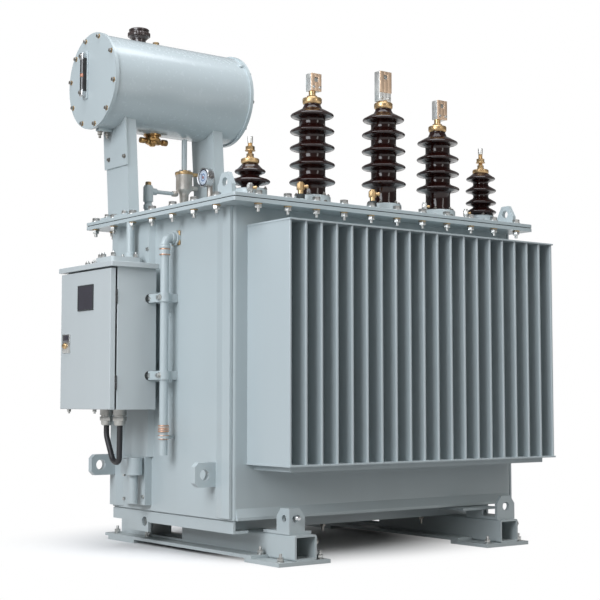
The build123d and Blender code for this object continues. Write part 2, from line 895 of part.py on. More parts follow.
def make_small_terminals():
    """Brass caps and threaded rods of the two small bushings."""
    solids = []
    for x, cap, top in ((small_left_x, small_left_cap, small_left_top),
                        (small_right_x, small_right_cap, small_right_top)):
        body = turned([(0, cap), (30, cap), (33, cap + 4), (33, cap + 14), (12, cap + 18),
                       (12, cap + 44), (20, cap + 44), (20, cap + 62), (9, cap + 62), (9, top),
                       (0, top)])
        solids.append((Pos(x, bushing_y, 0) * body).solid())
    return Compound(solids)


def make_cabinet():
    """Sheet steel box, open at the front where the door closes it."""
    outer = block(cabinet_front, cabinet_back, cabinet_near, cabinet_far,
                  cabinet_bottom, cabinet_top)
    outer = fillet(outer.edges().filter_by(Axis.Z), cabinet_edge)
    sheet = cabinet_sheet
    inner = block(cabinet_front - overcut, cabinet_back - sheet, cabinet_near + sheet,
                  cabinet_far - sheet, cabinet_bottom + sheet, cabinet_top - sheet)
    return (outer - inner).solid()


def make_cabinet_roof():
    """Roof sheet with an overhang, and the cover plate of the cable entry on it."""
    roof = block(door_front - roof_front_overhang, cabinet_back,
                 cabinet_near - roof_side_overhang, cabinet_far + roof_side_overhang,
                 cabinet_top, cabinet_top + roof_thickness)
    roof = fillet(roof.edges().filter_by(Axis.Z), 4)
    roof = fillet(roof.faces().sort_by(Axis.Z)[-1].edges(), 2)
    plate = block(roof_plate_front, cabinet_back - 4, roof_plate_near, roof_plate_far,
                  cabinet_top + roof_thickness,
                  cabinet_top + roof_thickness + roof_plate_thickness)
    plate = fillet(plate.edges().filter_by(Axis.Z), 10)
    return (roof + plate).solid()


def make_cabinet_door():
    """Folded door pan; its hinges are on the edge nearer the fins."""
    front = door_front
    back = cabinet_front - door_gap
    top = cabinet_top - door_top_gap
    outer = block(front, back, cabinet_near, cabinet_far, cabinet_bottom, top)
    outer = fillet(outer.faces().sort_by(Axis.X)[0].edges(), cabinet_edge)
    sheet = door_sheet
    inner = block(front + sheet, back + overcut, cabinet_near + sheet, cabinet_far - sheet,
                  cabinet_bottom + sheet, top - sheet)
    return (outer - inner).solid()


def make_hinge_pins():
    """Lower halves of the hinges with their pins; each leaf lies inside the cabinet wall."""
    halves = []
    wall = cabinet_near + cabinet_sheet
    for z in hinge_heights:
        middle = z + hinge_length / 2
        barrel = post(hinge_x, hinge_y, z, middle, hinge_radius)
        pin = post(hinge_x, hinge_y, z, z + hinge_length, hinge_pin_radius)
        neck = block(hinge_x, hinge_x + 2, hinge_y, wall + hinge_leaf_thickness, z, middle)
        leaf = block(hinge_x, cabinet_front + hinge_leaf, wall, wall + hinge_leaf_thickness,
                     z, middle)
        halves.append((barrel + pin + neck + leaf).solid())
    return Compound(halves)


def make_hinge_sleeves():
    """Upper halves of the hinges; each leaf lies inside the folded edge of the door."""
    halves = []
    wall = cabinet_near + door_sheet
    for z in hinge_heights:
        low = z + hinge_length / 2 + 1
        high = z + hinge_length
        barrel = post(hinge_x, hinge_y, low, high, hinge_radius)
        neck = block(hinge_x - 2, hinge_x, hinge_y, wall + hinge_leaf_thickness, low, high)
        leaf = block(cabinet_front - door_gap - hinge_leaf, hinge_x, wall,
                     wall + hinge_leaf_thickness, low, high)
        bore = post(hinge_x, hinge_y, low - overcut, high + overcut, hinge_pin_radius + hinge_play)
        halves.append((barrel + neck + leaf - bore).solid())
    return Compound(halves)


def make_door_window():
    """Dark inspection window in the door."""
    return block(door_front - window_thickness, door_front, window_near, window_far,
                 window_low, window_high).solid()


def make_door_latch():
    """Latch plate with a raised lock."""
    plate = block(door_front - latch_thickness, door_front, latch_near, latch_far,
                  latch_low, latch_high)
    lock_z = (latch_low + latch_high) / 2 - 2
    lock = bar_along_x(door_front - lock_depth, door_front - 3, lock_y, lock_z, lock_radius)
    return (plate + lock).solid()


def make_cabinet_brackets():
    """Two channels that hold the cabinet off the tank wall."""
    brackets = []
    for z in bracket_heights:
        for low in bracket_lows:
            brackets.append(block(cabinet_back, -tank_half_length, low, low + bracket_width,
                                  z, z + bracket_height).solid())
    return Compound(brackets)


def make_conduit():
    """Conduit from the cabinet roof up to the rim of the tank."""
    low = cabinet_top + roof_thickness + roof_plate_thickness
    return post(conduit_x, conduit_y, low, rim_bottom, conduit_radius).solid()


def make_glands():
    """Two cable glands under the cabinet."""
    glands = []
    for y in (gland_near_y, gland_far_y):
        body = turned([(0, gland_foot + 4), (17, gland_foot + 4), (21, gland_foot + 8),
                       (21, gland_foot + 24), (25, gland_foot + 24), (25, cabinet_bottom),
                       (0, cabinet_bottom)])
        glands.append((Pos(gland_x, y, 0) * body).solid())
    return Compound(glands)


def make_cable():
    """Black cable that hangs in a narrow loop from one gland to the other."""
    top = gland_foot + 4
    points = [(gland_x, gland_far_y, top), (gland_x, gland_far_y, top - 36),
              (gland_x, gland_near_y + 46, top - 128), (gland_x, gland_near_y + 2, top - 130),
              (gland_x, gland_near_y, top - 40), (gland_x, gland_near_y, top)]
    radii = []
    corners = [Vector(*point) for point in points]
    for before, corner, after in zip(corners, corners[1:], corners[2:]):
        first = corner - before
        second = after - corner
        turn = math.radians(first.get_angle(second))
        shorter = min(first.length, second.length)
        radii.append(0.45 * shorter / math.tan(turn / 2))
    print("cable radii", [round(radius, 1) for radius in radii])
    path = FilletPolyline(*points, radius=radii)
    section = Plane(origin=path @ 0, z_dir=path % 0) * Circle(cable_radius)
    cable = sweep(section, path)
    print("cable length", round(path.length, 1),
          "volume ratio", round(cable.volume / (math.pi * cable_radius ** 2 * path.length), 4))
    return cable.solid()


def make_side_pipe():
    """Upright pipe on the end wall, its elbow turned into the tank."""
    path = FilletPolyline((side_pipe_x, side_pipe_y, side_pipe_foot),
                          (side_pipe_x, side_pipe_y, side_pipe_elbow),
                          (-tank_half_length, side_pipe_y, side_pipe_elbow),
                          radius=side_pipe_bend)
    section = Plane(origin=path @ 0, z_dir=path % 0) * Circle(side_pipe_radius)
    pipe = sweep(section, path)
    flange = bar_along_x(-tank_half_length - 12, -tank_half_length, side_pipe_y,
                         side_pipe_elbow, side_pipe_flange)
    pipe = pipe + flange
    for low, high, radius in side_pipe_joints:
        pipe = pipe + post(side_pipe_x, side_pipe_y, low, high, radius)
    return pipe.solid()


def make_pipe_clamps():
    """Clamps that hold the pipe to the cabinet side and to the tank wall."""
    clamps = []
    for z in pipe_clamp_heights:
        high = z + pipe_clamp_height
        strap = block(cabinet_back - 34, cabinet_back - 28, side_pipe_y + 2, cabinet_near, z, high)
        shoe = block(cabinet_back - 34, cabinet_back - 6, cabinet_near - 6, cabinet_near, z, high)
        ring = post(side_pipe_x, side_pipe_y, z, high, side_pipe_radius + 6)
        arm = block(side_pipe_x, -tank_half_length, side_pipe_y - 8, side_pipe_y + 8, z, high)
        clamp = strap + shoe + ring + arm
        bore = post(side_pipe_x, side_pipe_y, z - overcut, high + overcut, side_pipe_radius)
        clamps.append((clamp - bore).solid())
    return Compound(clamps)


def make_drain_valve():
    """Drain valve on a pad low on the end wall, its outlet pipe pointing down."""
    pad = block(drain_pad_face, -tank_half_length, drain_pad_near, drain_pad_far,
                drain_pad_bottom, stiffener_foot)
    body = post(drain_x, drain_y, drain_low, drain_high, drain_radius)
    shoe = block(drain_x - drain_shoe_step, drain_pad_face, drain_y,
                 drain_y + drain_shoe_width, drain_low, drain_high - drain_shoe_step)
    outlet = post(drain_x, drain_outlet_y, drain_outlet_bottom, drain_low, drain_outlet_radius)
    return (pad + body + shoe + outlet).solid()


parts["tank_body"] = make_tank()
parts["end_wall_stiffeners"] = make_stiffeners()
parts["end_wall_strips"] = make_corner_strips()
parts["tank_skirts"] = make_skirts()
parts["tank_rim"] = make_rim()
parts["lid_gasket"] = make_gasket()
parts["tank_lid"] = make_lid()
parts["front_fins"] = make_fins(fin_count_front, fin_front_start, -1)
parts["rear_fins"] = make_fins(fin_count_rear, fin_rear_start, 1)
parts["fin_end_plates"] = make_fin_plates()
parts["fin_supports"] = make_fin_supports()
parts["base_beams"] = make_base_beams()
parts["base_end_beams"] = make_end_beams()
parts["base_end_plates"] = make_end_plates()
parts["jacking_plates"] = make_jacking_plates()
parts["foot_pads"] = make_foot_pads()
parts["skid_flanges"] = make_skid_flanges()
parts["skid_tube_left"] = make_skid_tube(skid_left_tube_x)
parts["skid_tube_right"] = make_skid_tube(skid_right_tube_x)
parts["hauling_lugs"] = make_hauling_lugs()
parts["tank_lugs"] = make_tank_lugs()
parts["lifting_lugs"] = make_lifting_lugs()
parts["conservator_drum"] = make_barrel()
parts["conservator_left_cover"] = make_end_cover(conservator_left)
parts["conservator_right_cover"] = make_end_cover(conservator_right - conservator_cover)
parts["conservator_left_leg"] = make_leg(leg_positions[0])
parts["conservator_right_leg"] = make_leg(leg_positions[1])
parts["oil_level_gauge"] = make_oil_gauge()
parts["filler_cap"] = make_filler_cap()
parts["vent_plug"] = make_vent_plug()
parts["conservator_valve"] = make_conservator_valve()
parts["gas_relay"] = make_relay()
parts["vent_post"] = make_vent_post()
parts["dial_thermometer"] = make_thermometer()
parts["small_left_porcelain"] = make_porcelain(small_left_x, small_left_sheds, small_core,
                                               small_left_cap, small_left_rise)
parts["tall_left_porcelain"] = make_porcelain(tall_left_x, tall_left_sheds, tall_core,
                                              tall_left_cap, tall_rise)
parts["tall_middle_porcelain"] = make_porcelain(tall_middle_x, tall_middle_sheds, tall_core,
                                                tall_middle_cap, tall_rise)
parts["tall_right_porcelain"] = make_porcelain(tall_right_x, tall_right_sheds, tall_core,
                                               tall_right_cap, tall_rise)
parts["small_right_porcelain"] = make_porcelain(small_right_x, small_right_sheds, small_core,
                                                small_right_cap, small_right_rise)
parts["bushing_clamps"] = make_bushing_clamps()
parts["tall_terminals"] = make_terminals()
parts["small_terminals"] = make_small_terminals()
parts["cabinet_body"] = make_cabinet()
parts["cabinet_roof"] = make_cabinet_roof()
parts["cabinet_door"] = make_cabinet_door()
parts["hinge_pins"] = make_hinge_pins()
parts["hinge_sleeves"] = make_hinge_sleeves()
parts["door_window"] = make_door_window()
parts["door_latch"] = make_door_latch()
parts["cabinet_brackets"] = make_cabinet_brackets()
parts["conduit"] = make_conduit()
parts["cable_glands"] = make_glands()
parts["control_cable"] = make_cable()
parts["side_pipe"] = make_side_pipe()
parts["pipe_clamps"] = make_pipe_clamps()
parts["drain_valve"] = make_drain_valve()

# The origin moves to the middle of the footprint, on the ground.
low_x = min(shape.bounding_box().min.X for shape in parts.values())
high_x = max(shape.bounding_box().max.X for shape in parts.values())
low_y = min(shape.bounding_box().min.Y for shape in parts.values())
high_y = max(shape.bounding_box().max.Y for shape in parts.values())
home = Pos(-(low_x + high_x) / 2, -(low_y + high_y) / 2, 0)
print("moved by", -(low_x + high_x) / 2, -(low_y + high_y) / 2)

os.makedirs("parts", exist_ok=True)
for name, shape in parts.items():
    export_step(home * shape, "parts/" + name + ".step")
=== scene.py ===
import math

import bmesh
import bpy
from mathutils import Matrix, Vector


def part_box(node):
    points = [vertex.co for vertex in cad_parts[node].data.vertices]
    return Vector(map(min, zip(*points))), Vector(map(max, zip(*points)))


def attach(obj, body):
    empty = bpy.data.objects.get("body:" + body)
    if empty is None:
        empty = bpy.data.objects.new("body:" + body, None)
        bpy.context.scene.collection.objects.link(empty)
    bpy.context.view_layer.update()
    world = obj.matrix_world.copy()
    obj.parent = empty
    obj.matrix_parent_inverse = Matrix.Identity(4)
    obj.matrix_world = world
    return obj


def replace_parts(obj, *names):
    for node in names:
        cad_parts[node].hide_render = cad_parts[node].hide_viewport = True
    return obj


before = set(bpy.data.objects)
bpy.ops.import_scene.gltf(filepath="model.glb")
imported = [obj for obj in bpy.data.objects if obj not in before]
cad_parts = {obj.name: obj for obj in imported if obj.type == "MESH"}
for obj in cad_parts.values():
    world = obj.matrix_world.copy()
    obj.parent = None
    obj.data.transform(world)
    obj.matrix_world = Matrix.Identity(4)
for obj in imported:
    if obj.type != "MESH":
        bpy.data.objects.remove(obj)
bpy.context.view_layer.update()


# Camera, floor and lamps.
# A small studio: one long lens from low down at the cabinet corner, a white
# floor that keeps the shadow, and wide soft lamps on the left and overhead.
tank_low, tank_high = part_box("tank_body")
tank_middle = (tank_low.x + tank_high.x) / 2
to_right, to_rear, upward = Vector((1, 0, 0)), Vector((0, 1, 0)), Vector((0, 0, 1))
to_left, to_front, downward = -to_right, -to_rear, -upward


def spot(x, y, z):
    """Place in millimetres from the middle of the tank, at ground level."""
    return Vector((x / 1000 + tank_middle, y / 1000, z / 1000))


lens = bpy.data.cameras.new("studio_camera")
lens.sensor_width = 36
lens.lens = 80.33
lens.clip_end = 80
camera = bpy.data.objects.new("studio_camera", lens)
camera.location = spot(-3150.5, -4062.5, 541.2)
camera.rotation_euler = (math.radians(94.2), 0, math.radians(-37.2))
bpy.context.scene.collection.objects.link(camera)
bpy.context.scene.camera = camera
bpy.context.scene.view_settings.view_transform = "Standard"


class Sock:
    """A socket of the finish being mixed; plain sums written with it add its Math nodes."""
    tree = None

    def __init__(self, link):
        self.link = link

    @staticmethod
    def node(kind, settings=None, values=None, output=0):
        made = Sock.tree.nodes.new("ShaderNode" + kind)
        for name, value in (settings or {}).items():
            if name == "stops":
                stops = made.color_ramp.elements
                while len(stops) < len(value):
                    stops.new(1.0)
                for stop, (place, shade) in zip(stops, value):
                    stop.position = place
                    stop.color = (shade, shade, shade, 1)
            else:
                setattr(made, name, value)
        for name, value in (values or {}).items():
            if isinstance(value, Sock):
                Sock.tree.links.new(value.link, made.inputs[name])
            else:
                made.inputs[name].default_value = value
        return Sock(made.outputs[output])

    @staticmethod
    def maths(operation, first, second):
        return Sock.node("Math", {"operation": operation}, {0: first, 1: second})

    def __add__(self, other):
        return Sock.maths("ADD", self, other)

    def __sub__(self, other):
        return Sock.maths("SUBTRACT", self, other)

    def __rsub__(self, other):
        return Sock.maths("SUBTRACT", other, self)

    def __mul__(self, other):
        return Sock.maths("MULTIPLY", self, other)

    __radd__ = __add__
    __rmul__ = __mul__


def begin(name):
    """Starts a finish; the nodes that follow go into it. Gives the finish and its shader."""
    finish = bpy.data.materials.new(name)
    finish.use_nodes = True
    Sock.tree = finish.node_tree
    return finish, finish.node_tree.nodes["Principled BSDF"]


bpy.ops.object.select_all(action="DESELECT")
bpy.ops.mesh.primitive_plane_add(size=60, location=(0, 0, -0.0005))
floor = bpy.context.object
floor.name = "studio_floor"
floor_finish, floor_shader = begin("studio_floor")
floor_shader.inputs["Roughness"].default_value = 0.9
floor_shader.inputs["Specular IOR Level"].default_value = 0.1
seen = Sock.node("LightPath", output="Is Camera Ray")
mirrored = Sock.node("LightPath", output="Is Glossy Ray")
through = Sock.node("LightPath", output="Is Transmission Ray")
direct = Sock.maths("MAXIMUM", seen, Sock.maths("MAXIMUM", mirrored, through))
floor_shade = Sock.node("Mix", {"data_type": "RGBA"},
                        {0: direct, 6: (0.30, 0.30, 0.30, 1), 7: (0.94, 0.94, 0.94, 1)}, 2)
Sock.tree.links.new(floor_shade.link, floor_shader.inputs["Base Color"])
squeezed = Sock.node("Mapping", None, {"Vector": Sock.node("TexCoord", output="Object"),
                                       "Location": (0, -0.3, 0), "Scale": (1.25, 1.5, 0)})
distance = Sock.node("VectorMath", {"operation": "LENGTH"}, {0: squeezed}, "Value")
faded = Sock.node("MapRange", {"interpolation_type": "SMOOTHSTEP"},
                  {"Value": distance, "From Min": 0.6, "From Max": 1.45})
white = Sock.node("Emission", None, {"Color": (1, 1, 1, 1), "Strength": 1.0})
laid = Sock.node("MixShader", None, {0: direct * faded, 1: Sock(floor_shader.outputs[0]),
                                     2: white})
Sock.tree.links.new(laid.link, Sock.tree.nodes["Material Output"].inputs["Surface"])
floor.data.materials.append(floor_finish)

world = bpy.data.worlds.new("studio_air")
bpy.context.scene.world = world
world.use_nodes = True
Sock.tree = world.node_tree
seen = Sock.node("LightPath", output="Is Camera Ray")
through = Sock.node("LightPath", output="Is Transmission Ray")
air = Sock.tree.nodes["Background"]
air.inputs["Color"].default_value = (1, 1, 1, 1)
dim = 0.24
Sock.tree.links.new((dim + Sock.maths("MAXIMUM", seen, through) * (1 - dim)).link,
                    air.inputs["Strength"])

for name, place, wide, high, power, tint in (
        ("lamp_left", (-5.2, -1.6, 3.2), 3.4, 3.4, 262, (0.965, 1.0, 1.05)),
        ("lamp_front", (1.2, -6.5, 3.4), 1.3, 4.2, 64, (1.0, 1.0, 0.98)),
        ("lamp_above", (-0.6, -0.6, 5.6), 4.2, 4.2, 222, (0.97, 1.0, 1.045))):
    glow = bpy.data.lights.new(name, "AREA")
    glow.shape = "RECTANGLE"
    glow.size = wide
    glow.size_y = high
    glow.energy = power
    glow.color = tint
    lamp = bpy.data.objects.new(name, glow)
    lamp.location = place
    aim = Vector((0, 0, 0.9)) - lamp.location
    lamp.rotation_euler = aim.to_track_quat("-Z", "Y").to_euler()
    bpy.context.scene.collection.objects.link(lamp)


# Tank, rim, lid, lugs and base frame.
# Welded steel plate, sprayed with a pale blue-grey enamel after welding, so
# one coat runs over walls, stiffeners, rim, lid, lifting lugs and skids.
def paint(name, colour, roughness, dust, gloss=0.15, drawn=(9, 9, 0.7)):
    """Sprayed enamel: faint clouds and runs, orange peel, and dust low down and on top."""
    finish, shader = begin(name)
    where = Sock.node("TexCoord", output="Object")
    upright = Sock.node("Mapping", None, {"Vector": where, "Scale": drawn})
    cloud = Sock.node("TexNoise", None, {"Vector": where, "Scale": 2.3, "Detail": 3.0})
    runs = Sock.node("TexNoise", None, {"Vector": upright, "Scale": 1.0, "Detail": 4.0})
    speck = Sock.node("TexNoise", None, {"Vector": where, "Scale": 70.0, "Detail": 2.0})
    peel = Sock.node("TexNoise", None, {"Vector": where, "Scale": 420.0, "Detail": 1.0})
    height = Sock.node("SeparateXYZ", None, {0: where}, "Z")
    facing_up = Sock.node("SeparateXYZ", None,
                          {0: Sock.node("NewGeometry", output="Normal")}, "Z")
    low = Sock.node("MapRange", {"clamp": True},
                    {"Value": height + runs * 0.2, "From Min": 0.34, "From Max": 0.05})
    settled = Sock.node("MapRange", {"clamp": True},
                        {"Value": facing_up, "From Min": 0.6, "From Max": 1.0})
    dusty = (low * 0.7 + settled * 0.5) * (speck * 0.8 + 0.4) * dust
    tone = 1.0 + (cloud - 0.5) * 0.05 + (runs - 0.5) * 0.06
    coat = Sock.node("VectorMath", {"operation": "SCALE"}, {0: colour, "Scale": tone})
    mixed = Sock.node("Mix", {"data_type": "RGBA"},
                      {0: dusty, 6: coat, 7: (0.50, 0.49, 0.46, 1)}, 2)
    Sock.tree.links.new(mixed.link, shader.inputs["Base Color"])
    dull = roughness + (speck - 0.5) * 0.10 + dusty * 0.5
    Sock.tree.links.new(dull.link, shader.inputs["Roughness"])
    relief = peel * 0.1 + cloud * 2.0 + runs * 0.3
    bump = Sock.node("Bump", None, {"Strength": 0.12, "Distance": 0.002, "Height": relief})
    Sock.tree.links.new(bump.link, shader.inputs["Normal"])
    shader.inputs["Coat Weight"].default_value = gloss
    shader.inputs["Coat Roughness"].default_value = 0.2
    return finish


def coat_node(finish, *nodes):
    """Gives the CAD nodes their finish."""
    for node in nodes:
        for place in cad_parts[node].material_slots:
            place.material = finish


tank_paint = paint("tank_paint", (0.470, 0.535, 0.552), 0.34, 0.35)
coat_node(tank_paint, "tank_body", "end_wall_stiffeners", "end_wall_strips", "tank_rim",
          "tank_lid", "lifting_lugs", "tank_lugs", "tank_skirts", "base_beams",
          "base_end_beams", "base_end_plates", "jacking_plates", "foot_pads", "skid_flanges",
          "skid_tube_left", "skid_tube_right", "hauling_lugs")


# Cooling fins.
# Folded hollow sheet, welded to the long walls and closed by a plate above
# and below; the same enamel, flowed on by dipping, so a little smoother.
fin_paint = paint("fin_paint", (0.465, 0.530, 0.550), 0.31, 0.25)
coat_node(fin_paint, "front_fins", "rear_fins", "fin_end_plates", "fin_supports")


# Lid gasket.
# Dark oil-proof cork rubber squeezed between the rim and the lid, so that
# only a thin matt black line shows all round.
def rubber(name, colour, roughness):
    """Matt rubber with a fine mould grain and a little bloom."""
    finish, shader = begin(name)
    where = Sock.node("TexCoord", output="Object")
    grain = Sock.node("TexNoise", None, {"Vector": where, "Scale": 900.0, "Detail": 2.0})
    bloom = Sock.node("TexNoise", None, {"Vector": where, "Scale": 25.0, "Detail": 3.0})
    tone = 0.8 + bloom * 0.5
    shade = Sock.node("VectorMath", {"operation": "SCALE"}, {0: colour, "Scale": tone})
    Sock.tree.links.new(shade.link, shader.inputs["Base Color"])
    Sock.tree.links.new((roughness + bloom * 0.15).link, shader.inputs["Roughness"])
    bump = Sock.node("Bump", None, {"Strength": 0.2, "Distance": 0.0003, "Height": grain})
    Sock.tree.links.new(bump.link, shader.inputs["Normal"])
    return finish


gasket_rubber = rubber("gasket_rubber", (0.035, 0.04, 0.04), 0.7)
coat_node(gasket_rubber, "lid_gasket")


# Lid bolts.
# Zinc plated steel bolts through lid, gasket and rim at an even pitch: a
# hexagon head and washer on top, a brass washer, nut and bolt end below.
def metal(name, colour, roughness, wear, tarnish=(0.2, 0.17, 0.13, 1)):
    """Bare or plated metal, clouded by tarnish and brushed by handling."""
    finish, shader = begin(name)
    where = Sock.node("TexCoord", output="Object")
    cloud = Sock.node("TexNoise", None, {"Vector": where, "Scale": 38.0, "Detail": 4.0})
    grain = Sock.node("TexNoise", None, {"Vector": where, "Scale": 600.0, "Detail": 2.0})
    stain = Sock.node("ValToRGB", {"stops": ((0.42, 0.0), (0.72, 1.0))}, {0: cloud})
    mixed = Sock.node("Mix", {"data_type": "RGBA"}, {0: stain * wear, 6: colour, 7: tarnish}, 2)
    Sock.tree.links.new(mixed.link, shader.inputs["Base Color"])
    dull = roughness + stain * 0.18 + (grain - 0.5) * 0.12
    Sock.tree.links.new(dull.link, shader.inputs["Roughness"])
    bump = Sock.node("Bump", None, {"Strength": 0.15, "Distance": 0.0004,
                                    "Height": grain + cloud})
    Sock.tree.links.new(bump.link, shader.inputs["Normal"])
    shader.inputs["Metallic"].default_value = 1.0
    return finish


zinc = metal("zinc_plate", (0.60, 0.61, 0.60, 1), 0.28, 0.35)
brass = metal("brass", (0.64, 0.45, 0.24, 1), 0.33, 0.5, (0.26, 0.15, 0.07, 1))
dull_steel = metal("dull_steel", (0.30, 0.29, 0.27, 1), 0.42, 0.4, (0.16, 0.13, 0.10, 1))


def alone(piece):
    """Only this piece is selected, and it is the active one."""
    bpy.ops.object.select_all(action="DESELECT")
    piece.select_set(True)
    bpy.context.view_layer.objects.active = piece


def pick_faces(piece, wanted):
    """Opens the piece in edit mode with the faces chosen by their centre and direction."""
    alone(piece)
    bpy.ops.object.mode_set(mode="EDIT")
    bpy.ops.mesh.select_mode(type="FACE")
    bpy.ops.mesh.select_all(action="DESELECT")
    shape = bmesh.from_edit_mesh(piece.data)
    for face in shape.faces:
        face.select = wanted(face.calc_center_median(), face.normal)
    bmesh.update_edit_mesh(piece.data)


def fixed(piece):
    """Closes edit mode, fixes the piece's place in its mesh and shades its curves."""
    if bpy.context.mode != "OBJECT":
        bpy.ops.object.mode_set(mode="OBJECT")
    alone(piece)
    bpy.ops.object.transform_apply(location=True, rotation=True, scale=True)
    for change in list(piece.modifiers):
        bpy.ops.object.modifier_apply(modifier=change.name)
    bpy.ops.object.shade_smooth_by_angle(angle=math.radians(38))
    return piece


def bar(radius, low, high, sides=24, finish=None, bevel=0.0):
    """Upright bar between two heights in metres, its ends chamfered; six sides make a nut."""
    bpy.ops.object.select_all(action="DESELECT")
    bpy.ops.mesh.primitive_cylinder_add(vertices=sides, radius=radius, depth=high - low,
                                        location=(0, 0, (low + high) / 2))
    piece = bpy.context.object
    if bevel:
        pick_faces(piece, lambda centre, normal: abs(normal.z) > 0.9)
        bpy.ops.mesh.bevel(offset=bevel, segments=2, affect="EDGES")
    if finish:
        piece.data.materials.append(finish)
    return fixed(piece)


def joined(name, *pieces):
    """Makes one piece of several."""
    alone(pieces[0])
    for piece in pieces[1:]:
        piece.select_set(True)
    bpy.ops.object.join()
    whole = bpy.context.object
    whole.name = name
    whole.data.name = name
    return whole


def set_out(name, model, places):
    """One piece made of a copy of the model at each place, standing along each direction."""
    copies = []
    for place, direction in places:
        copy = model.copy()
        copy.data = model.data.copy()
        turn = upward.rotation_difference(direction).to_matrix().to_4x4()
        copy.data.transform(Matrix.Translation(place) @ turn)
        bpy.context.scene.collection.objects.link(copy)
        copies.append(copy)
    bpy.data.objects.remove(model)
    return joined(name, *copies)


def mount(piece, body="transformer"):
    """The piece rides on a body."""
    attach(piece, body)
    return piece


def bolt(across, head, washer, washer_finish, end=0.0, finish=zinc):
    """Hexagon head or nut on a round washer, with the end of the bolt if it is a nut."""
    thick = across * 0.13
    pieces = [bar(washer, 0, thick, 20, washer_finish, thick * 0.3),
              bar(across * 0.577, thick, thick + head, 6, finish, across * 0.06)]
    if end:
        pieces.append(bar(across * 0.27, thick, thick + head + end, 12, finish, across * 0.05))
    return joined("bolt", *pieces)


lid_top_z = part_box("tank_lid")[1].z * 1000
rim_bottom_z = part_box("tank_rim")[0].z * 1000
long_pitch, long_start, long_count = 121.8, -608.4, 11
end_pitch, end_start, end_count = 138.3, -372.0, 7
row_y, left_row_x, right_row_x = 485, -698, 662
lid_places = []
for number in range(long_count):
    for side in (-1, 1):
        lid_places.append((long_start + number * long_pitch, side * row_y))
for number in range(end_count):
    for x in (left_row_x, right_row_x):
        lid_places.append((x, end_start + number * end_pitch))
tops = [(spot(x, y, lid_top_z), upward) for x, y in lid_places]
feet = [(spot(x, y, rim_bottom_z), downward) for x, y in lid_places]
mount(set_out("lid_bolt_heads", bolt(0.024, 0.0125, 0.016, zinc), tops))
mount(set_out("lid_bolt_nuts", bolt(0.022, 0.014, 0.014, brass, 0.012), feet))


# Conservator.
# Rolled steel drum for the oil's expansion, closed by two bolted covers, on
# two folded plate legs; the drum carries the gauge, filler, plug and valve.
drum_paint = paint("drum_paint", (0.475, 0.540, 0.560), 0.26, 0.1, 0.7, (0.9, 16, 16))
coat_node(drum_paint, "conservator_drum")
coat_node(tank_paint, "conservator_left_cover", "conservator_right_cover",
          "conservator_left_leg", "conservator_right_leg")
drum_y, drum_z, drum_radius = 365, 1733, 176
drum_left, drum_right = -772, -156
cover_angles = (8, 40, 72, 107, 149, 189, 227, 262, 296, 332)
cover_radius = 168
around = []
for angle in cover_angles:
    y = drum_y + cover_radius * math.cos(math.radians(angle))
    z = drum_z + cover_radius * math.sin(math.radians(angle))
    around.append((spot(drum_left, y, z), to_left))
    around.append((spot(drum_right, y, z), to_right))
mount(set_out("conservator_cover_bolts", bolt(0.0125, 0.008, 0.0095, brass, 0, dull_steel),
              around))
splice_face_x = -688
splice_places = [(spot(splice_face_x, y, z), to_left) for y, z in ((262, 1441), (379, 1443))]
mount(set_out("splice_bolts", bolt(0.011, 0.007, 0.0085, dull_steel, 0, dull_steel),
              splice_places))
leg_faces_x, leg_bolts_y, foot_top_z = (-682, -292), (250, 378), 1222
right_of_leg, left_of_leg = 58, -12
leg_places = []
for offset in (right_of_leg, left_of_leg):
    for x in leg_faces_x:
        for y in leg_bolts_y:
            leg_places.append((spot(x + offset, y, foot_top_z), upward))
mount(set_out("leg_bolts", bolt(0.017, 0.010, 0.0115, zinc), leg_places))


# Drum clamp.
# A small welded block under the left end of the drum with two bolts through
# it, which hold the drum down on its leg.
def block(low, high, bevel, finish):
    """Rectangular piece between two corners, with its edges rounded off."""
    bpy.ops.object.select_all(action="DESELECT")
    bpy.ops.mesh.primitive_cube_add(size=1, location=(low + high) / 2)
    piece = bpy.context.object
    piece.scale = high - low
    bpy.ops.object.transform_apply(location=False, rotation=False, scale=True)
    pick_faces(piece, lambda centre, normal: True)
    bpy.ops.mesh.bevel(offset=bevel, segments=3, affect="EDGES")
    piece.data.materials.append(finish)
    return fixed(piece)


clamp_block = block(spot(-748, 354, 1545), spot(-690, 378, 1561), 0.002, tank_paint)
clamp_nuts = set_out("clamp_nuts", bolt(0.018, 0.012, 0.011, dull_steel, 0.012, dull_steel),
                     [(spot(-736, 366, 1546), downward), (spot(-705, 366, 1546), downward)])
mount(joined("drum_clamp", clamp_block, clamp_nuts))


# Oil level gauge.
# A glass tube between two plated end blocks on a steel back plate, with an
# orange float inside; one screw holds each block to the drum's cover.
def glaze(name, colour, roughness, mottle=0.25):
    """Smooth glossy finish, such as glaze or dark glass, faintly mottled."""
    finish, shader = begin(name)
    where = Sock.node("TexCoord", output="Object")
    pool = Sock.node("TexNoise", None, {"Vector": where, "Scale": 22.0, "Detail": 4.0})
    ripple = Sock.node("TexNoise", None, {"Vector": where, "Scale": 9.0, "Detail": 1.0})
    tone = 1.0 + (pool - 0.5) * mottle * 2
    shade = Sock.node("VectorMath", {"operation": "SCALE"}, {0: colour, "Scale": tone})
    Sock.tree.links.new(shade.link, shader.inputs["Base Color"])
    Sock.tree.links.new((roughness + pool * 0.06).link, shader.inputs["Roughness"])
    bump = Sock.node("Bump", None, {"Strength": 0.10, "Distance": 0.002, "Height": ripple})
    Sock.tree.links.new(bump.link, shader.inputs["Normal"])
    shader.inputs["Coat Weight"].default_value = 0.8
    shader.inputs["Coat Roughness"].default_value = 0.05
    return finish


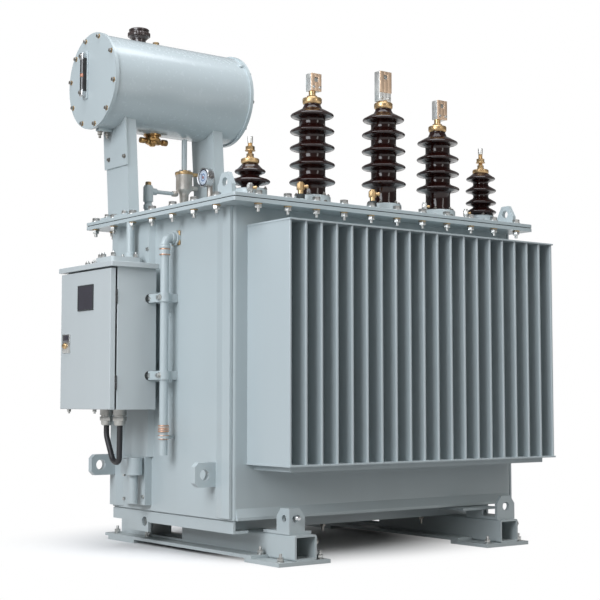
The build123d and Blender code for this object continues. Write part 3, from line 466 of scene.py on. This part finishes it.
def placed(piece, place, direction=upward):
    """Stands a piece that was made at the origin at its place, along a direction."""
    turn = upward.rotation_difference(direction).to_matrix().to_4x4()
    piece.data.transform(Matrix.Translation(place) @ turn)
    return piece


chrome = metal("plated_steel", (0.58, 0.59, 0.60, 1), 0.22, 0.06)
gauge_glass = glaze("gauge_glass", (0.020, 0.021, 0.022), 0.14)
dark_steel = metal("dark_steel", (0.07, 0.07, 0.07, 1), 0.5, 0.3, (0.05, 0.04, 0.035, 1))
float_orange = glaze("float_orange", (0.42, 0.13, 0.05), 0.4)
gauge_low, gauge_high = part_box("oil_level_gauge")
face_x, gauge_y = gauge_high.x, (gauge_low.y + gauge_high.y) / 2
bottom, top = gauge_low.z + 0.008, gauge_high.z - 0.008
parts_of_gauge = [block(Vector((face_x - 0.005, gauge_y - 0.017, bottom - 0.008)),
                        Vector((face_x, gauge_y + 0.017, top + 0.008)), 0.002, tank_paint)]
for low_z, high_z in ((bottom, bottom + 0.028), (top - 0.028, top)):
    parts_of_gauge.append(block(Vector((face_x - 0.024, gauge_y - 0.012, low_z)),
                                Vector((face_x - 0.004, gauge_y + 0.012, high_z)),
                                0.004, chrome))
    screw = placed(bolt(0.013, 0.005, 0.009, chrome, 0, dull_steel),
                   Vector((face_x - 0.0235, gauge_y, (low_z + high_z) / 2)), to_left)
    parts_of_gauge.append(screw)
for side in (-1, 1):
    rail_y = gauge_y + side * 0.0125
    parts_of_gauge.append(block(Vector((face_x - 0.019, rail_y - 0.0018, bottom + 0.02)),
                                Vector((face_x - 0.006, rail_y + 0.0018, top - 0.02)),
                                0.0008, dark_steel))
glass_tube = bar(0.0098, bottom + 0.02, top - 0.02, 24, gauge_glass)
parts_of_gauge.append(placed(glass_tube, Vector((face_x - 0.014, gauge_y, 0))))
float_low = bottom + 0.44 * (top - bottom)
float_ring = bar(0.0102, float_low, float_low + 0.014, 24, float_orange, 0.002)
parts_of_gauge.append(placed(float_ring, Vector((face_x - 0.014, gauge_y, 0))))
level_gauge = mount(joined("level_gauge", *parts_of_gauge))
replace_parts(level_gauge, "oil_level_gauge")


# Filler cap, vent plug, drum valve and drum cleats.
# A ribbed dark plastic screw cap on the drum's neck, a small brass plug
# beside it, a brass drain valve with a cross handle below, and two eyes.
def lathe(name, outline, finish, steps=40):
    """Draws one point out along an outline of (radius, height) in mm and spins it round."""
    bpy.ops.object.select_all(action="DESELECT")
    bpy.ops.mesh.primitive_plane_add(size=0.01, location=(0, 0, 0))
    piece = bpy.context.object
    bpy.ops.object.mode_set(mode="EDIT")
    bpy.ops.mesh.select_mode(type="VERT")
    bpy.ops.mesh.select_all(action="SELECT")
    bpy.ops.mesh.merge(type="CENTER")
    points = [Vector((radius / 1000, 0, height / 1000)) for radius, height in outline]
    bpy.ops.transform.translate(value=points[0])
    for before, after in zip(points, points[1:]):
        bpy.ops.mesh.extrude_region_move(TRANSFORM_OT_translate={"value": after - before})
    bpy.ops.mesh.select_all(action="SELECT")
    bpy.ops.mesh.spin(steps=steps, angle=math.tau, center=(0, 0, 0), axis=(0, 0, 1))
    bpy.ops.mesh.select_all(action="SELECT")
    bpy.ops.mesh.remove_doubles(threshold=0.00001)
    bpy.ops.mesh.normals_make_consistent(inside=False)
    piece.name = name
    piece.data.name = name
    piece.data.materials.append(finish)
    return fixed(piece)


cap_plastic = glaze("cap_plastic", (0.035, 0.022, 0.020), 0.34)
neck = lathe("neck", ((0, -10), (26, -10), (26, 12), (30, 13), (30, 17), (0, 17)), cap_plastic)
cap = lathe("filler_cap_top", ((0, 15), (31, 15), (34, 18), (35, 22), (41, 24), (42, 28), (42, 34),
                               (40, 38), (36, 41), (36, 44), (39, 46), (39, 51), (35, 54),
                               (0, 54)), cap_plastic, 48)
rib_count, rib_reach = 24, 0.0405
rib_places = []
for number in range(rib_count):
    turn = math.tau * number / rib_count
    rib_places.append((Vector((rib_reach * math.cos(turn), rib_reach * math.sin(turn), 0)),
                       upward))
cap_ribs = set_out("ribs", bar(0.003, 0.024, 0.038, 8, cap_plastic), rib_places)
filler = placed(joined("filler", neck, cap, cap_ribs), spot(-571, drum_y, drum_z + drum_radius))
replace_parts(mount(filler), "filler_cap")

plug = joined("drum_vent_plug", bar(0.0140, -0.004, 0.005, 20, brass, 0.001),
              bar(0.0125, 0.005, 0.0150, 6, brass, 0.001))
placed(plug, spot(-495, drum_y, drum_z + drum_radius))
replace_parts(mount(plug), "vent_plug")

bronze = metal("valve_bronze", (0.50, 0.30, 0.12, 1), 0.30, 0.6, (0.16, 0.08, 0.04, 1))
valve_body = lathe("valve_body", ((0, -26), (9, -26), (12, -23), (13, -19), (20, -19), (22, -16),
                                  (22, -9), (30, -7), (32, -3), (32, 3), (27, 6), (27, 12),
                                  (34, 14), (34, 20), (0, 20)), bronze, 36)
handle = joined("handle", bar(0.0075, -0.056, 0.058, 16, bronze, 0.002),
                bar(0.0115, -0.058, -0.036, 16, bronze, 0.003),
                bar(0.0125, 0.038, 0.063, 16, bronze, 0.004),
                bar(0.014, -0.030, 0.030, 6, bronze, 0.002))
placed(handle, Vector((0.003, 0, -0.006)), to_right)
drum_valve = placed(joined("drum_valve", valve_body, handle),
                    spot(-508, drum_y, drum_z - drum_radius - 18))
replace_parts(mount(drum_valve), "conservator_valve")

cleats = []
for x in (-196, -740):
    cleats.append(block(spot(x - 20, drum_y - 5, drum_z + drum_radius - 6),
                        spot(x + 20, drum_y + 5, drum_z + drum_radius + 5), 0.003, tank_paint))
boss_angle = math.radians(137)
boss = placed(bar(0.011, -0.004, 0.006, 18, tank_paint, 0.002),
              spot(-185, drum_y + drum_radius * math.cos(boss_angle),
                   drum_z + drum_radius * math.sin(boss_angle)),
              Vector((0, math.cos(boss_angle), math.sin(boss_angle))))
mount(joined("drum_cleats", boss, *cleats))


# Gas relay, vent post and dial thermometer.
# Cast relay with a brass cover in the pipe from drum to lid, a cross pipe to
# a small vent elbow, and a chromed dial on a stem beside them.
cast_grey = metal("cast_relay", (0.60, 0.57, 0.53, 1), 0.42, 0.5, (0.36, 0.31, 0.26, 1))
relay_place = spot(-374, 345, 0)
feed_pipe = bar(0.0105, 1.212, 1.552, 20, tank_paint)
relay_body = lathe("relay_body", ((0, 1212), (29, 1212), (29, 1221), (15, 1223), (14, 1262),
                                  (18, 1264), (18, 1280), (14, 1284), (14, 1300), (17, 1304),
                                  (18, 1334), (24, 1344), (31, 1350), (32, 1354), (32, 1402),
                                  (34, 1406), (34, 1412), (0, 1412)), cast_grey, 36)
relay_lid = lathe("relay_lid", ((0, 1411), (35, 1411), (36, 1413), (36, 1421), (34, 1423),
                                (16, 1424), (14, 1430), (0, 1430)), brass, 36)
arm = block(Vector((0.02, -0.008, 1.410)), Vector((0.060, 0.008, 1.424)), 0.003, brass)
stub = placed(bar(0.010, 0.020, 0.058, 16, cast_grey, 0.002), Vector((0, 0, 1.362)), to_right)
relay_bolt_reach, relay_lid_z = 0.026, 1.4225
relay_bolts = set_out("relay_bolts", bolt(0.010, 0.005, 0.007, zinc),
                      [(Vector((relay_bolt_reach * math.cos(turn),
                                relay_bolt_reach * math.sin(turn), relay_lid_z)), upward)
                       for turn in (0.6, 2.0, 3.6, 5.0)])
relay = placed(joined("relay", feed_pipe, relay_body, relay_lid, arm, stub, relay_bolts),
               relay_place)
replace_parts(mount(relay), "gas_relay")

elbow = lathe("vent_elbow", ((0, 1212), (25, 1212), (25, 1220), (16, 1223), (14, 1262), (18, 1266),
                             (18, 1280), (14, 1284), (14, 1290), (19, 1294), (19, 1348),
                             (15, 1356), (0, 1356)), tank_paint, 32)
vent_top = lathe("vent_top", ((0, 1355), (12, 1355), (13, 1358), (13, 1366), (10, 1370),
                              (0, 1370)), brass, 6)
cross_start = Vector((0, 0, 1.334))
sleeve = placed(bar(0.013, 0.012, 0.036, 20, tank_paint, 0.002), cross_start, to_right)
cross_pipe = placed(bar(0.0075, 0.0, 0.132, 16, tank_paint), cross_start, to_right)
union = placed(bar(0.012, 0.108, 0.128, 6, cast_grey, 0.002), cross_start, to_right)
vent = placed(joined("vent_fitting", elbow, vent_top, sleeve, cross_pipe, union),
              spot(-536, 345, 0))
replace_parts(mount(vent), "vent_post")

dial_white, dial_shader = begin("dial_face")
where = Sock.node("TexCoord", output="Object")
dial_place = spot(-374, 214, 1386)
centred = Sock.node("Mapping", None, {"Vector": where, "Location": -dial_place})
across = Sock.node("SeparateXYZ", None, {0: centred}, "Y")
rise = Sock.node("SeparateXYZ", None, {0: centred}, "Z")
reach = Sock.node("VectorMath", {"operation": "LENGTH"}, {0: centred}, "Value")
angle = Sock.maths("ARCTAN2", rise, across)
tick_count = 36
tick = Sock.maths("GREATER_THAN", Sock.maths("FRACT", angle * (tick_count / math.tau), 0.0), 0.72)
band = Sock.maths("GREATER_THAN", reach, 0.0205) * Sock.maths("LESS_THAN", reach, 0.0255)
rim = Sock.maths("GREATER_THAN", reach, 0.0275)
inner = Sock.maths("GREATER_THAN", reach, 0.010) * Sock.maths("LESS_THAN", reach, 0.0165)
inked = Sock.maths("MAXIMUM", tick * band, rim)
printed = Sock.node("Mix", {"data_type": "RGBA"},
                    {0: inked, 6: (0.62, 0.70, 0.80, 1), 7: (0.012, 0.016, 0.035, 1)}, 2)
tinted = Sock.node("Mix", {"data_type": "RGBA"},
                   {0: inner * 0.75, 6: printed, 7: (0.10, 0.17, 0.36, 1)}, 2)
Sock.tree.links.new(tinted.link, dial_shader.inputs["Base Color"])
dial_shader.inputs["Roughness"].default_value = 0.25
dial_shader.inputs["Coat Weight"].default_value = 0.9
dial_shader.inputs["Coat Roughness"].default_value = 0.03
bezel = lathe("bezel", ((0, 4), (32.5, 4), (33.5, 1), (35, 0), (37, 1), (38, 4), (38, 10),
                        (36.5, 12), (36.5, 30), (0, 30)), chrome, 64)
bezel.data.transform(Matrix.Scale(-1, 4, upward))
bezel.data.flip_normals()
face = bar(0.0326, -0.0043, -0.0030, 48, dial_white)
needle = block(Vector((-0.0012, -0.020, -0.0030)), Vector((0.0012, 0.007, -0.0022)), 0.0003,
               rubber("needle_black", (0.02, 0.02, 0.02), 0.5))
needle.data.transform(Matrix.Rotation(math.radians(130), 4, "Z"))
hub = bar(0.0055, -0.0032, -0.0014, 16, glaze("hub_red", (0.22, 0.05, 0.06), 0.3), 0.0005)
dial = placed(joined("dial", bezel, face, needle, hub), dial_place, to_left)
neck_bar = placed(bar(0.017, 0.028, 0.042, 20, cast_grey, 0.002), dial_place, to_right)
stem = lathe("stem", ((0, 1212), (21, 1212), (21, 1224), (15, 1228), (15, 1290), (11, 1296),
                      (11, 1366), (17, 1372), (17, 1392), (12, 1396), (0, 1396)), cast_grey, 30)
placed(stem, spot(-340, 214, 0))
thermometer = mount(joined("thermometer", dial, neck_bar, stem))
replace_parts(thermometer, "dial_thermometer")


# Bushings.
# Turned and glazed dark brown porcelain with sheds that shed rain, clamped
# to the lid by a cast ring, with a brass cap screwed down on a rubber seal.
porcelain = glaze("porcelain_glaze", (0.016, 0.0038, 0.0028), 0.13, 0.4)
porcelain_shader = porcelain.node_tree.nodes["Principled BSDF"]
porcelain_shader.inputs["Specular IOR Level"].default_value = 0.25
porcelain_shader.inputs["Coat Weight"].default_value = 0.38
tinned = metal("tinned_copper", (0.84, 0.84, 0.82, 1), 0.40, 0.15, (0.60, 0.55, 0.46, 1))
pale_brass = metal("pale_brass", (0.80, 0.60, 0.44, 1), 0.42, 0.2, (0.55, 0.38, 0.24, 1))
bushing_y = -300


def shed_outline(core, rims, top, neck_radius):
    """Outline of a porcelain body in mm: a core with a drooping shed at each rim."""
    points = [(0, 1214), (core + 3, 1214), (core + 3, 1268), (core, 1274)]
    for number, (height, radius) in enumerate(rims):
        points += [(core, height - 19), (core + 3, height - 14), (core + 12, height - 10),
                   (radius - 10, height - 7), (radius - 3, height - 6), (radius - 0.6, height - 3),
                   (radius, height), (radius - 2.5, height + 3.5), (radius - 9, height + 7)]
        if number < len(rims) - 1:
            points += [(core + 12, height + 13), (core + 4, height + 17), (core, height + 23)]
    height, radius = rims[-1]
    points += [(core + 6, height + 16), (neck_radius + 7, height + 24), (neck_radius + 1, top - 10),
               (neck_radius, top - 3), (neck_radius, top), (0, top)]
    return points


bushings = (
    ("tall_left_porcelain", -239.5, 47, ((1313, 83), (1375, 82), (1437, 81), (1497, 80),
                                         (1555, 78)), 1600, 30),
    ("tall_middle_porcelain", 98.3, 47, ((1338, 83), (1402, 82), (1462, 82), (1525, 81),
                                         (1582, 78)), 1627, 30),
    ("tall_right_porcelain", 374, 47, ((1345, 83), (1404, 82), (1462, 81), (1526, 78)), 1573, 30),
    ("small_left_porcelain", -511.7, 30, ((1289, 70), (1325, 54)), 1353, 22),
    ("small_right_porcelain", 606, 30, ((1276, 60), (1313, 60), (1362, 60), (1410, 57)), 1430, 20))
for node, x, core, rims, top, neck_radius in bushings:
    body = lathe(node[:-10] + "_insulator", shed_outline(core, rims, top, neck_radius),
                 porcelain, 64)
    placed(body, spot(x, bushing_y, 0))
    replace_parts(mount(body), node)

clamp_pieces = []
for x, ring, core, count in ((-511.7, 61, 35, 4), (-239.5, 67.5, 52, 6), (98.3, 67.5, 52, 6),
                             (374, 67.5, 52, 6), (606, 51.5, 34, 4)):
    seat = lathe("seat", ((core, 1212), (ring, 1212), (ring, 1218), (ring - 1.5, 1220),
                          (ring - 1.5, 1257), (ring - 3, 1260), (ring - 6, 1262), (core, 1262),
                          (core, 1212)), tank_paint, 56)
    clamp_pieces.append(placed(seat, spot(x, bushing_y, 0)))
    side_places, top_places = [], []
    for number in range(count):
        turn = math.tau * (number + 0.62) / count
        out = Vector((math.cos(turn), math.sin(turn), 0))
        side_places.append((spot(x, bushing_y, 1236) + out * (ring - 2.5) / 1000, out))
        top_places.append((spot(x, bushing_y, 1261.5) + out * (ring - 8) / 1000, upward))
    clamp_pieces.append(set_out("side_screws", bolt(0.011, 0.005, 0.008, dull_steel, 0, dull_steel),
                                side_places))
    clamp_pieces.append(set_out("top_nuts", bolt(0.010, 0.006, 0.007, dull_steel, 0.004,
                                                 dull_steel), top_places))
clamps = mount(joined("clamp_rings", *clamp_pieces))
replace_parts(clamps, "bushing_clamps")


# Terminals of the tall bushings.
# Brass cap and threaded stem; on each stem a tinned block with a brass front
# plate, bored through for the line's bolt and closed by two small screws.
terminal_pieces = []
for x, cap_z, offset, low, high, width in ((-239.5, 1600, 7.0, 1644, 1708, 46),
                                           (98.3, 1627, -0.8, 1650, 1764, 57),
                                           (374, 1573, 12.0, 1618, 1693, 50)):
    cap = lathe("cap", ((0, cap_z - 4), (31, cap_z - 4), (34, cap_z), (35, cap_z + 4),
                        (35, cap_z + 15), (33, cap_z + 18), (24, cap_z + 19), (22, cap_z + 21),
                        (0, cap_z + 21)), brass, 40)
    nut = bar(0.019, (cap_z + 20) / 1000, (cap_z + 28) / 1000, 6, brass, 0.0015)
    stem = bar(0.0125, (cap_z + 26) / 1000, (low + 3) / 1000, 20, brass)
    half, depth, height = width / 2000, 0.0170, (high - low) / 1000
    bottom, hole_z = low / 1000, (high - 22) / 1000
    plate_low = bottom + height * (0.30 if width > 55 else 0.0)
    cheek = block(Vector((-half, -depth + 0.004, bottom)), Vector((-0.0085, depth, high / 1000)),
                  0.0015, tinned)
    other_cheek = block(Vector((0.0085, -depth + 0.004, bottom)),
                        Vector((half, depth, high / 1000)), 0.0015, tinned)
    below = block(Vector((-0.0095, -depth + 0.004, bottom)),
                  Vector((0.0095, depth, hole_z - 0.0085)), 0.0015, tinned)
    above = block(Vector((-0.0095, -depth + 0.004, hole_z + 0.0085)),
                  Vector((0.0095, depth, high / 1000)), 0.0015, tinned)
    pieces = [cheek, other_cheek, below, above]
    for left, right, foot, top in ((-half, -0.0085, plate_low, high / 1000),
                                   (0.0085, half, plate_low, high / 1000),
                                   (-0.0095, 0.0095, plate_low, hole_z - 0.0085),
                                   (-0.0095, 0.0095, hole_z + 0.0085, high / 1000)):
        pieces.append(block(Vector((left, -depth, foot)), Vector((right, -depth + 0.005, top)),
                            0.0012, pale_brass))
    for side in (-0.3, 0.3):
        screw_y = -depth + (0.004 if width > 55 else 0)
        pieces.append(placed(bolt(0.009, 0.004, 0.006, zinc),
                             Vector((side * width / 1000, screw_y, bottom + 0.013)), to_front))
    for piece in pieces:
        piece.data.transform(Matrix.Translation((offset / 1000, 0, 0)))
    terminal_pieces.append(placed(joined("terminal", cap, nut, stem, *pieces),
                                  spot(x, bushing_y, 0)))
terminals = mount(joined("terminal_blocks", *terminal_pieces))
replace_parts(terminals, "tall_terminals")


# Terminals of the small bushings.
# Brass cap, a lock nut and a threaded brass rod with a second nut near its top.
rod_pieces = []
for x, cap_z, high in ((-511.7, 1353, 1448), (606, 1430, 1532)):
    outline = [(0, cap_z - 4), (25, cap_z - 4), (30, cap_z), (32, cap_z + 4), (32, cap_z + 13),
               (29, cap_z + 16), (14, cap_z + 18), (14, cap_z + 22), (0, cap_z + 22)]
    cap = lathe("cap", outline, brass, 36)
    thread = [(0, cap_z + 20)]
    height = cap_z + 20
    while height < high - 4:
        thread += [(8.6, height), (7.6, height + 1.5)]
        height += 3
    thread += [(7.6, high - 2), (6.4, high), (0, high)]
    rod = lathe("rod", thread, brass, 18)
    lower = bar(0.013, (cap_z + 22) / 1000, (cap_z + 34) / 1000, 6, brass, 0.001)
    upper = bar(0.016, (cap_z + 46) / 1000, (cap_z + 60) / 1000, 6, brass, 0.001)
    collar = bar(0.018, (cap_z + 43) / 1000, (cap_z + 46) / 1000, 24, brass, 0.0008)
    sleeve = bar(0.0095, high / 1000 - 0.024, high / 1000, 18, tinned, 0.001)
    rod_pieces.append(placed(joined("rod", cap, rod, lower, upper, collar, sleeve),
                             spot(x, bushing_y, 0)))
rods = mount(joined("terminal_rods", *rod_pieces))
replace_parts(rods, "small_terminals")


# Bleed screws.
# Small upright valves on the lid in front of the bushings; two are brass and
# three are plated, each on its own boss.
bleeds = []
nozzle_way = Vector((0.8, -0.6, 0))
for x, y, top, finish, wide in ((-345, -370, 1295, brass, 0.88), (-16, -370, 1299, brass, 0.88),
                                (240, -370, 1276, zinc, 0.62), (463, -362, 1270, zinc, 0.62),
                                (-560, -370, 1271, zinc, 0.75)):
    boss = lathe("boss", ((0, 1212), (21 * wide, 1212), (21 * wide, 1232), (19 * wide, 1235),
                          (0, 1235)), tank_paint, 28)
    seal = bar(0.0175 * wide, 1.234, (top - 42) / 1000, 24, gasket_rubber, 0.001)
    throat = bar(0.0115 * wide, (top - 43) / 1000, (top - 26) / 1000, 20, finish)
    head = bar(0.0165 * wide, (top - 28) / 1000, (top - 5) / 1000, 8, finish, 0.0018)
    crown = bar(0.0120 * wide, (top - 6) / 1000, top / 1000, 20, finish, 0.0015)
    nozzle = bar(0.0065 * wide, 0.010, 0.031 * wide, 14, brass, 0.001)
    nozzle_start = Vector((0, 0, (top - 16) / 1000))
    placed(nozzle, nozzle_start, nozzle_way)
    lip = bar(0.0085 * wide, 0.022 * wide, 0.029 * wide, 14, brass, 0.001)
    placed(lip, nozzle_start, nozzle_way)
    bleeds.append(placed(joined("bleed", boss, seal, throat, head, crown, nozzle, lip),
                         spot(x, y, 0)))
mount(joined("bleed_screws", *bleeds))


# Control cabinet.
# Folded sheet box with a roof, sprayed a shade paler than the tank; the door
# has a dark window and a flush swing handle with a brass lock.
cabinet_paint = paint("cabinet_paint", (0.520, 0.565, 0.575), 0.38, 0.25)
coat_node(cabinet_paint, "cabinet_body", "cabinet_roof", "cabinet_door", "cabinet_brackets")
# The hinge pins and sleeves are near-black dark steel, their own colour and also painted shade for
# the gap beside the door that they fill.
coat_node(dark_steel, "hinge_pins", "hinge_sleeves")
coat_node(tank_paint, "conduit")
front_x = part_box("cabinet_door")[0].x
window_low, window_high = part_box("door_window")
window_glass = glaze("window_glass", (0.030, 0.028, 0.042), 0.10)
frame_strips = []
edge = 0.004
near, far, foot, head = window_low.y, window_high.y, window_low.z, window_high.z
for low, high in (((near - edge, foot - edge), (far + edge, foot)),
                  ((near - edge, head), (far + edge, head + edge)),
                  ((near - edge, foot), (near, head)),
                  ((far, foot), (far + edge, head))):
    frame_strips.append(block(Vector((front_x - 0.003, low[0], low[1])),
                              Vector((front_x + 0.001, high[0], high[1])), 0.0006,
                              gasket_rubber))
mount(joined("window_seal", *frame_strips), "door")
coat_node(window_glass, "door_window")

latch_low, latch_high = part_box("door_latch")
plate_x = latch_high.x - 0.004
middle_y = (latch_low.y + latch_high.y) / 2
plate = block(Vector((plate_x, latch_low.y, latch_low.z)),
              Vector((latch_high.x, latch_high.y, latch_high.z)), 0.0015, zinc)
# The handle's recess is a near-black glossy panel laid on the plate: painted shade of the recess.
recess_shade = block(Vector((plate_x - 0.0015, latch_low.y + 0.008, latch_low.z + 0.040)),
               Vector((plate_x + 0.001, latch_high.y - 0.010, latch_high.z - 0.004)), 0.0007,
               window_glass)
lock = lathe("lock", ((0, 0), (11, 0), (11, 3), (9, 5), (8, 9), (3, 10), (0, 10)), brass, 24)
placed(lock, Vector((plate_x, middle_y + 0.004, latch_low.z + 0.026)), to_left)
# The key slot is a thin near-black strip flush with the lock's face: painted shade standing for the
# slot's hole.
key_slot_shade = block(Vector((plate_x - 0.0100, middle_y + 0.003, latch_low.z + 0.020)),
             Vector((plate_x - 0.0085, middle_y + 0.005, latch_low.z + 0.032)), 0.0003,
             gasket_rubber)
handle = joined("door_handle", plate, recess_shade, lock, key_slot_shade)
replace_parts(mount(handle, "door"), "door_latch")

roof_pad_height = 30
plate_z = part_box("cabinet_roof")[1].z * 1000
roof_z = plate_z - roof_pad_height
roof_places = [(spot(-836, 262, roof_z), upward), (spot(-836, 214, roof_z), upward)]
for x, y in ((-798, 236), (-798, 214), (-798, 142), (-706, 142), (-706, 236)):
    roof_places.append((spot(x, y, plate_z), upward))
mount(set_out("roof_bolts", bolt(0.016, 0.012, 0.011, dull_steel, 0.006), roof_places))
floor_bolts = [(spot(-858, 352, 503), downward), (spot(-838, 196, 503), downward)]
mount(set_out("cabinet_floor_bolts", bolt(0.014, 0.009, 0.010, zinc, 0.006), floor_bolts))


# Conduit, glands and control cable.
# Painted conduit from the roof into the rim, two cast cable glands under the
# box, and one black rubber cable that hangs between them in a narrow loop.
collar = lathe("collar", ((0, 0), (24, 0), (24, 8), (19, 10), (19, 22), (16, 24), (0, 24)),
               tank_paint, 32)
placed(collar, spot(-701, 191, plate_z))
mount(collar).name = "conduit_collar"
gland_alloy = metal("gland_alloy", (0.50, 0.50, 0.48, 1), 0.42, 0.5, (0.30, 0.29, 0.27, 1))
gland_pieces = []
for y in (125, 221):
    body = lathe("gland", ((0, 444), (15, 444), (18, 446), (20, 450), (20, 462), (0, 462)),
                 gland_alloy, 28)
    hexagon = bar(0.0245, 0.461, 0.476, 6, gland_alloy, 0.0015)
    flare = lathe("flare", ((0, 475), (20, 475), (20, 480), (24, 482), (24, 501.5), (0, 501.5)),
                  gland_alloy, 28)
    gland_pieces.append(placed(joined("gland", body, hexagon, flare), spot(-775, y, 0)))
glands = mount(joined("gland_bodies", *gland_pieces))
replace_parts(glands, "cable_glands")
cable_rubber = rubber("cable_rubber", (0.018, 0.018, 0.020), 0.42)
coat_node(cable_rubber, "control_cable")


# Oil pipe on the end wall.
# Painted steel pipe from a brass flange near the rim down the wall, with a
# screwed joint, a copper union near its foot and two strap clamps.
copper = metal("copper_union", (0.72, 0.42, 0.28, 1), 0.35, 0.4, (0.40, 0.24, 0.16, 1))
coat_node(tank_paint, "side_pipe", "pipe_clamps")
pipe_x, pipe_y, elbow_z, wall_x = -700, -48, 1106, -650
rings = []
for low, high, radius, finish in ((1043, 1046, 20, copper), (1062, 1065, 20, copper),
                                  (424, 428, 19.5, copper), (430, 434, 19.5, copper),
                                  (436, 440, 19.5, copper), (444, 448, 19.5, copper),
                                  (399, 401, 20, copper), (411, 413, 20, copper)):
    ring = bar(radius / 1000, low / 1000, high / 1000, 32, finish, 0.0008)
    rings.append(placed(ring, spot(pipe_x, pipe_y, 0)))
flange_half = 26
rings.append(block(spot(-657, pipe_y - flange_half, elbow_z - flange_half),
                   spot(wall_x, pipe_y + flange_half, elbow_z + flange_half), 0.003, brass))
for low, high, radius in ((1066, 1078, 19.5), (1078, 1084, 17.5)):
    ring = bar(radius / 1000, low / 1000, high / 1000, 32, tank_paint, 0.0015)
    rings.append(placed(ring, spot(pipe_x, pipe_y, 0)))
for low, high, radius in ((0.014, 0.026, 0.0195), (0.026, 0.038, 0.018)):
    ring = bar(radius, low, high, 32, tank_paint, 0.0015)
    rings.append(placed(ring, spot(-688, pipe_y, elbow_z), to_right))
rings.append(block(spot(-702, pipe_y + 8, 400), spot(wall_x, pipe_y + 20, 412), 0.002,
                   tank_paint))
mount(joined("pipe_rings", *rings))
strap_heights = (893, 621)
mount(set_out("strap_bolts", bolt(0.019, 0.013, 0.0165, gasket_rubber),
              [(spot(-715, 30, z), to_front) for z in strap_heights]))
mount(set_out("pipe_bolts", bolt(0.015, 0.010, 0.012, zinc),
              [(spot(-719, pipe_y, z), to_left) for z in strap_heights]))


# Drain valve.
# Painted valve on a pad welded low on the end wall; small plated bolts hold
# its flange and the pad, and one more sits high up on the stiffener.
coat_node(tank_paint, "drain_valve")
drain_bolts = []
for y in (170, 212):
    drain_bolts.append((spot(-706, y, 268), downward))
for y, z in ((124, 190), (256, 176), (256, 316)):
    drain_bolts.append((spot(-677, y, z), to_left))
drain_bolts.append((spot(-670, 118, 1081), to_left))
mount(set_out("drain_bolts", bolt(0.011, 0.006, 0.007, zinc), drain_bolts))


# Skid and base bolts.
# Plated bolts through the foot pads, the flanges and the sides of the tubes,
# two studs under the long beam, and a ball-headed pin left in the front
# left hauling bracket.
pad_top, flange_top = 13, 24
skid_places = []
for x in (-477, 462):
    for y, seat_z in ((-542, pad_top), (518, flange_top)):
        for dx in (-80, 80):
            skid_places.append((spot(x + dx, y, seat_z), upward))
for x, y in ((-534, -398), (-534, 330), (519, 330)):
    skid_places.append((spot(x, y, flange_top), upward))
mount(set_out("skid_bolts", bolt(0.019, 0.013, 0.0125, zinc, 0.012), skid_places))
side_places = []
for y in (-546, -80, 520):
    side_places.append((spot(-424, y, 72), to_right))
    side_places.append((spot(519, y, 78), to_right))
mount(set_out("tube_bolts", bolt(0.018, 0.010, 0.012, dull_steel, 0.004, dull_steel),
              side_places))
studs = [(spot(x, -250, 96), downward) for x in (-155, 322)]
mount(set_out("beam_studs", bolt(0.018, 0.010, 0.011, dull_steel, 0.016, dull_steel), studs))
ball = lathe("ball_pin", ((0, 14), (7, 12.5), (10, 8), (10.5, 4), (9, -1), (5, -5), (5, -30),
                          (0, -30)), chrome, 28)
mount(placed(ball, spot(-491, -541, 151), to_front))
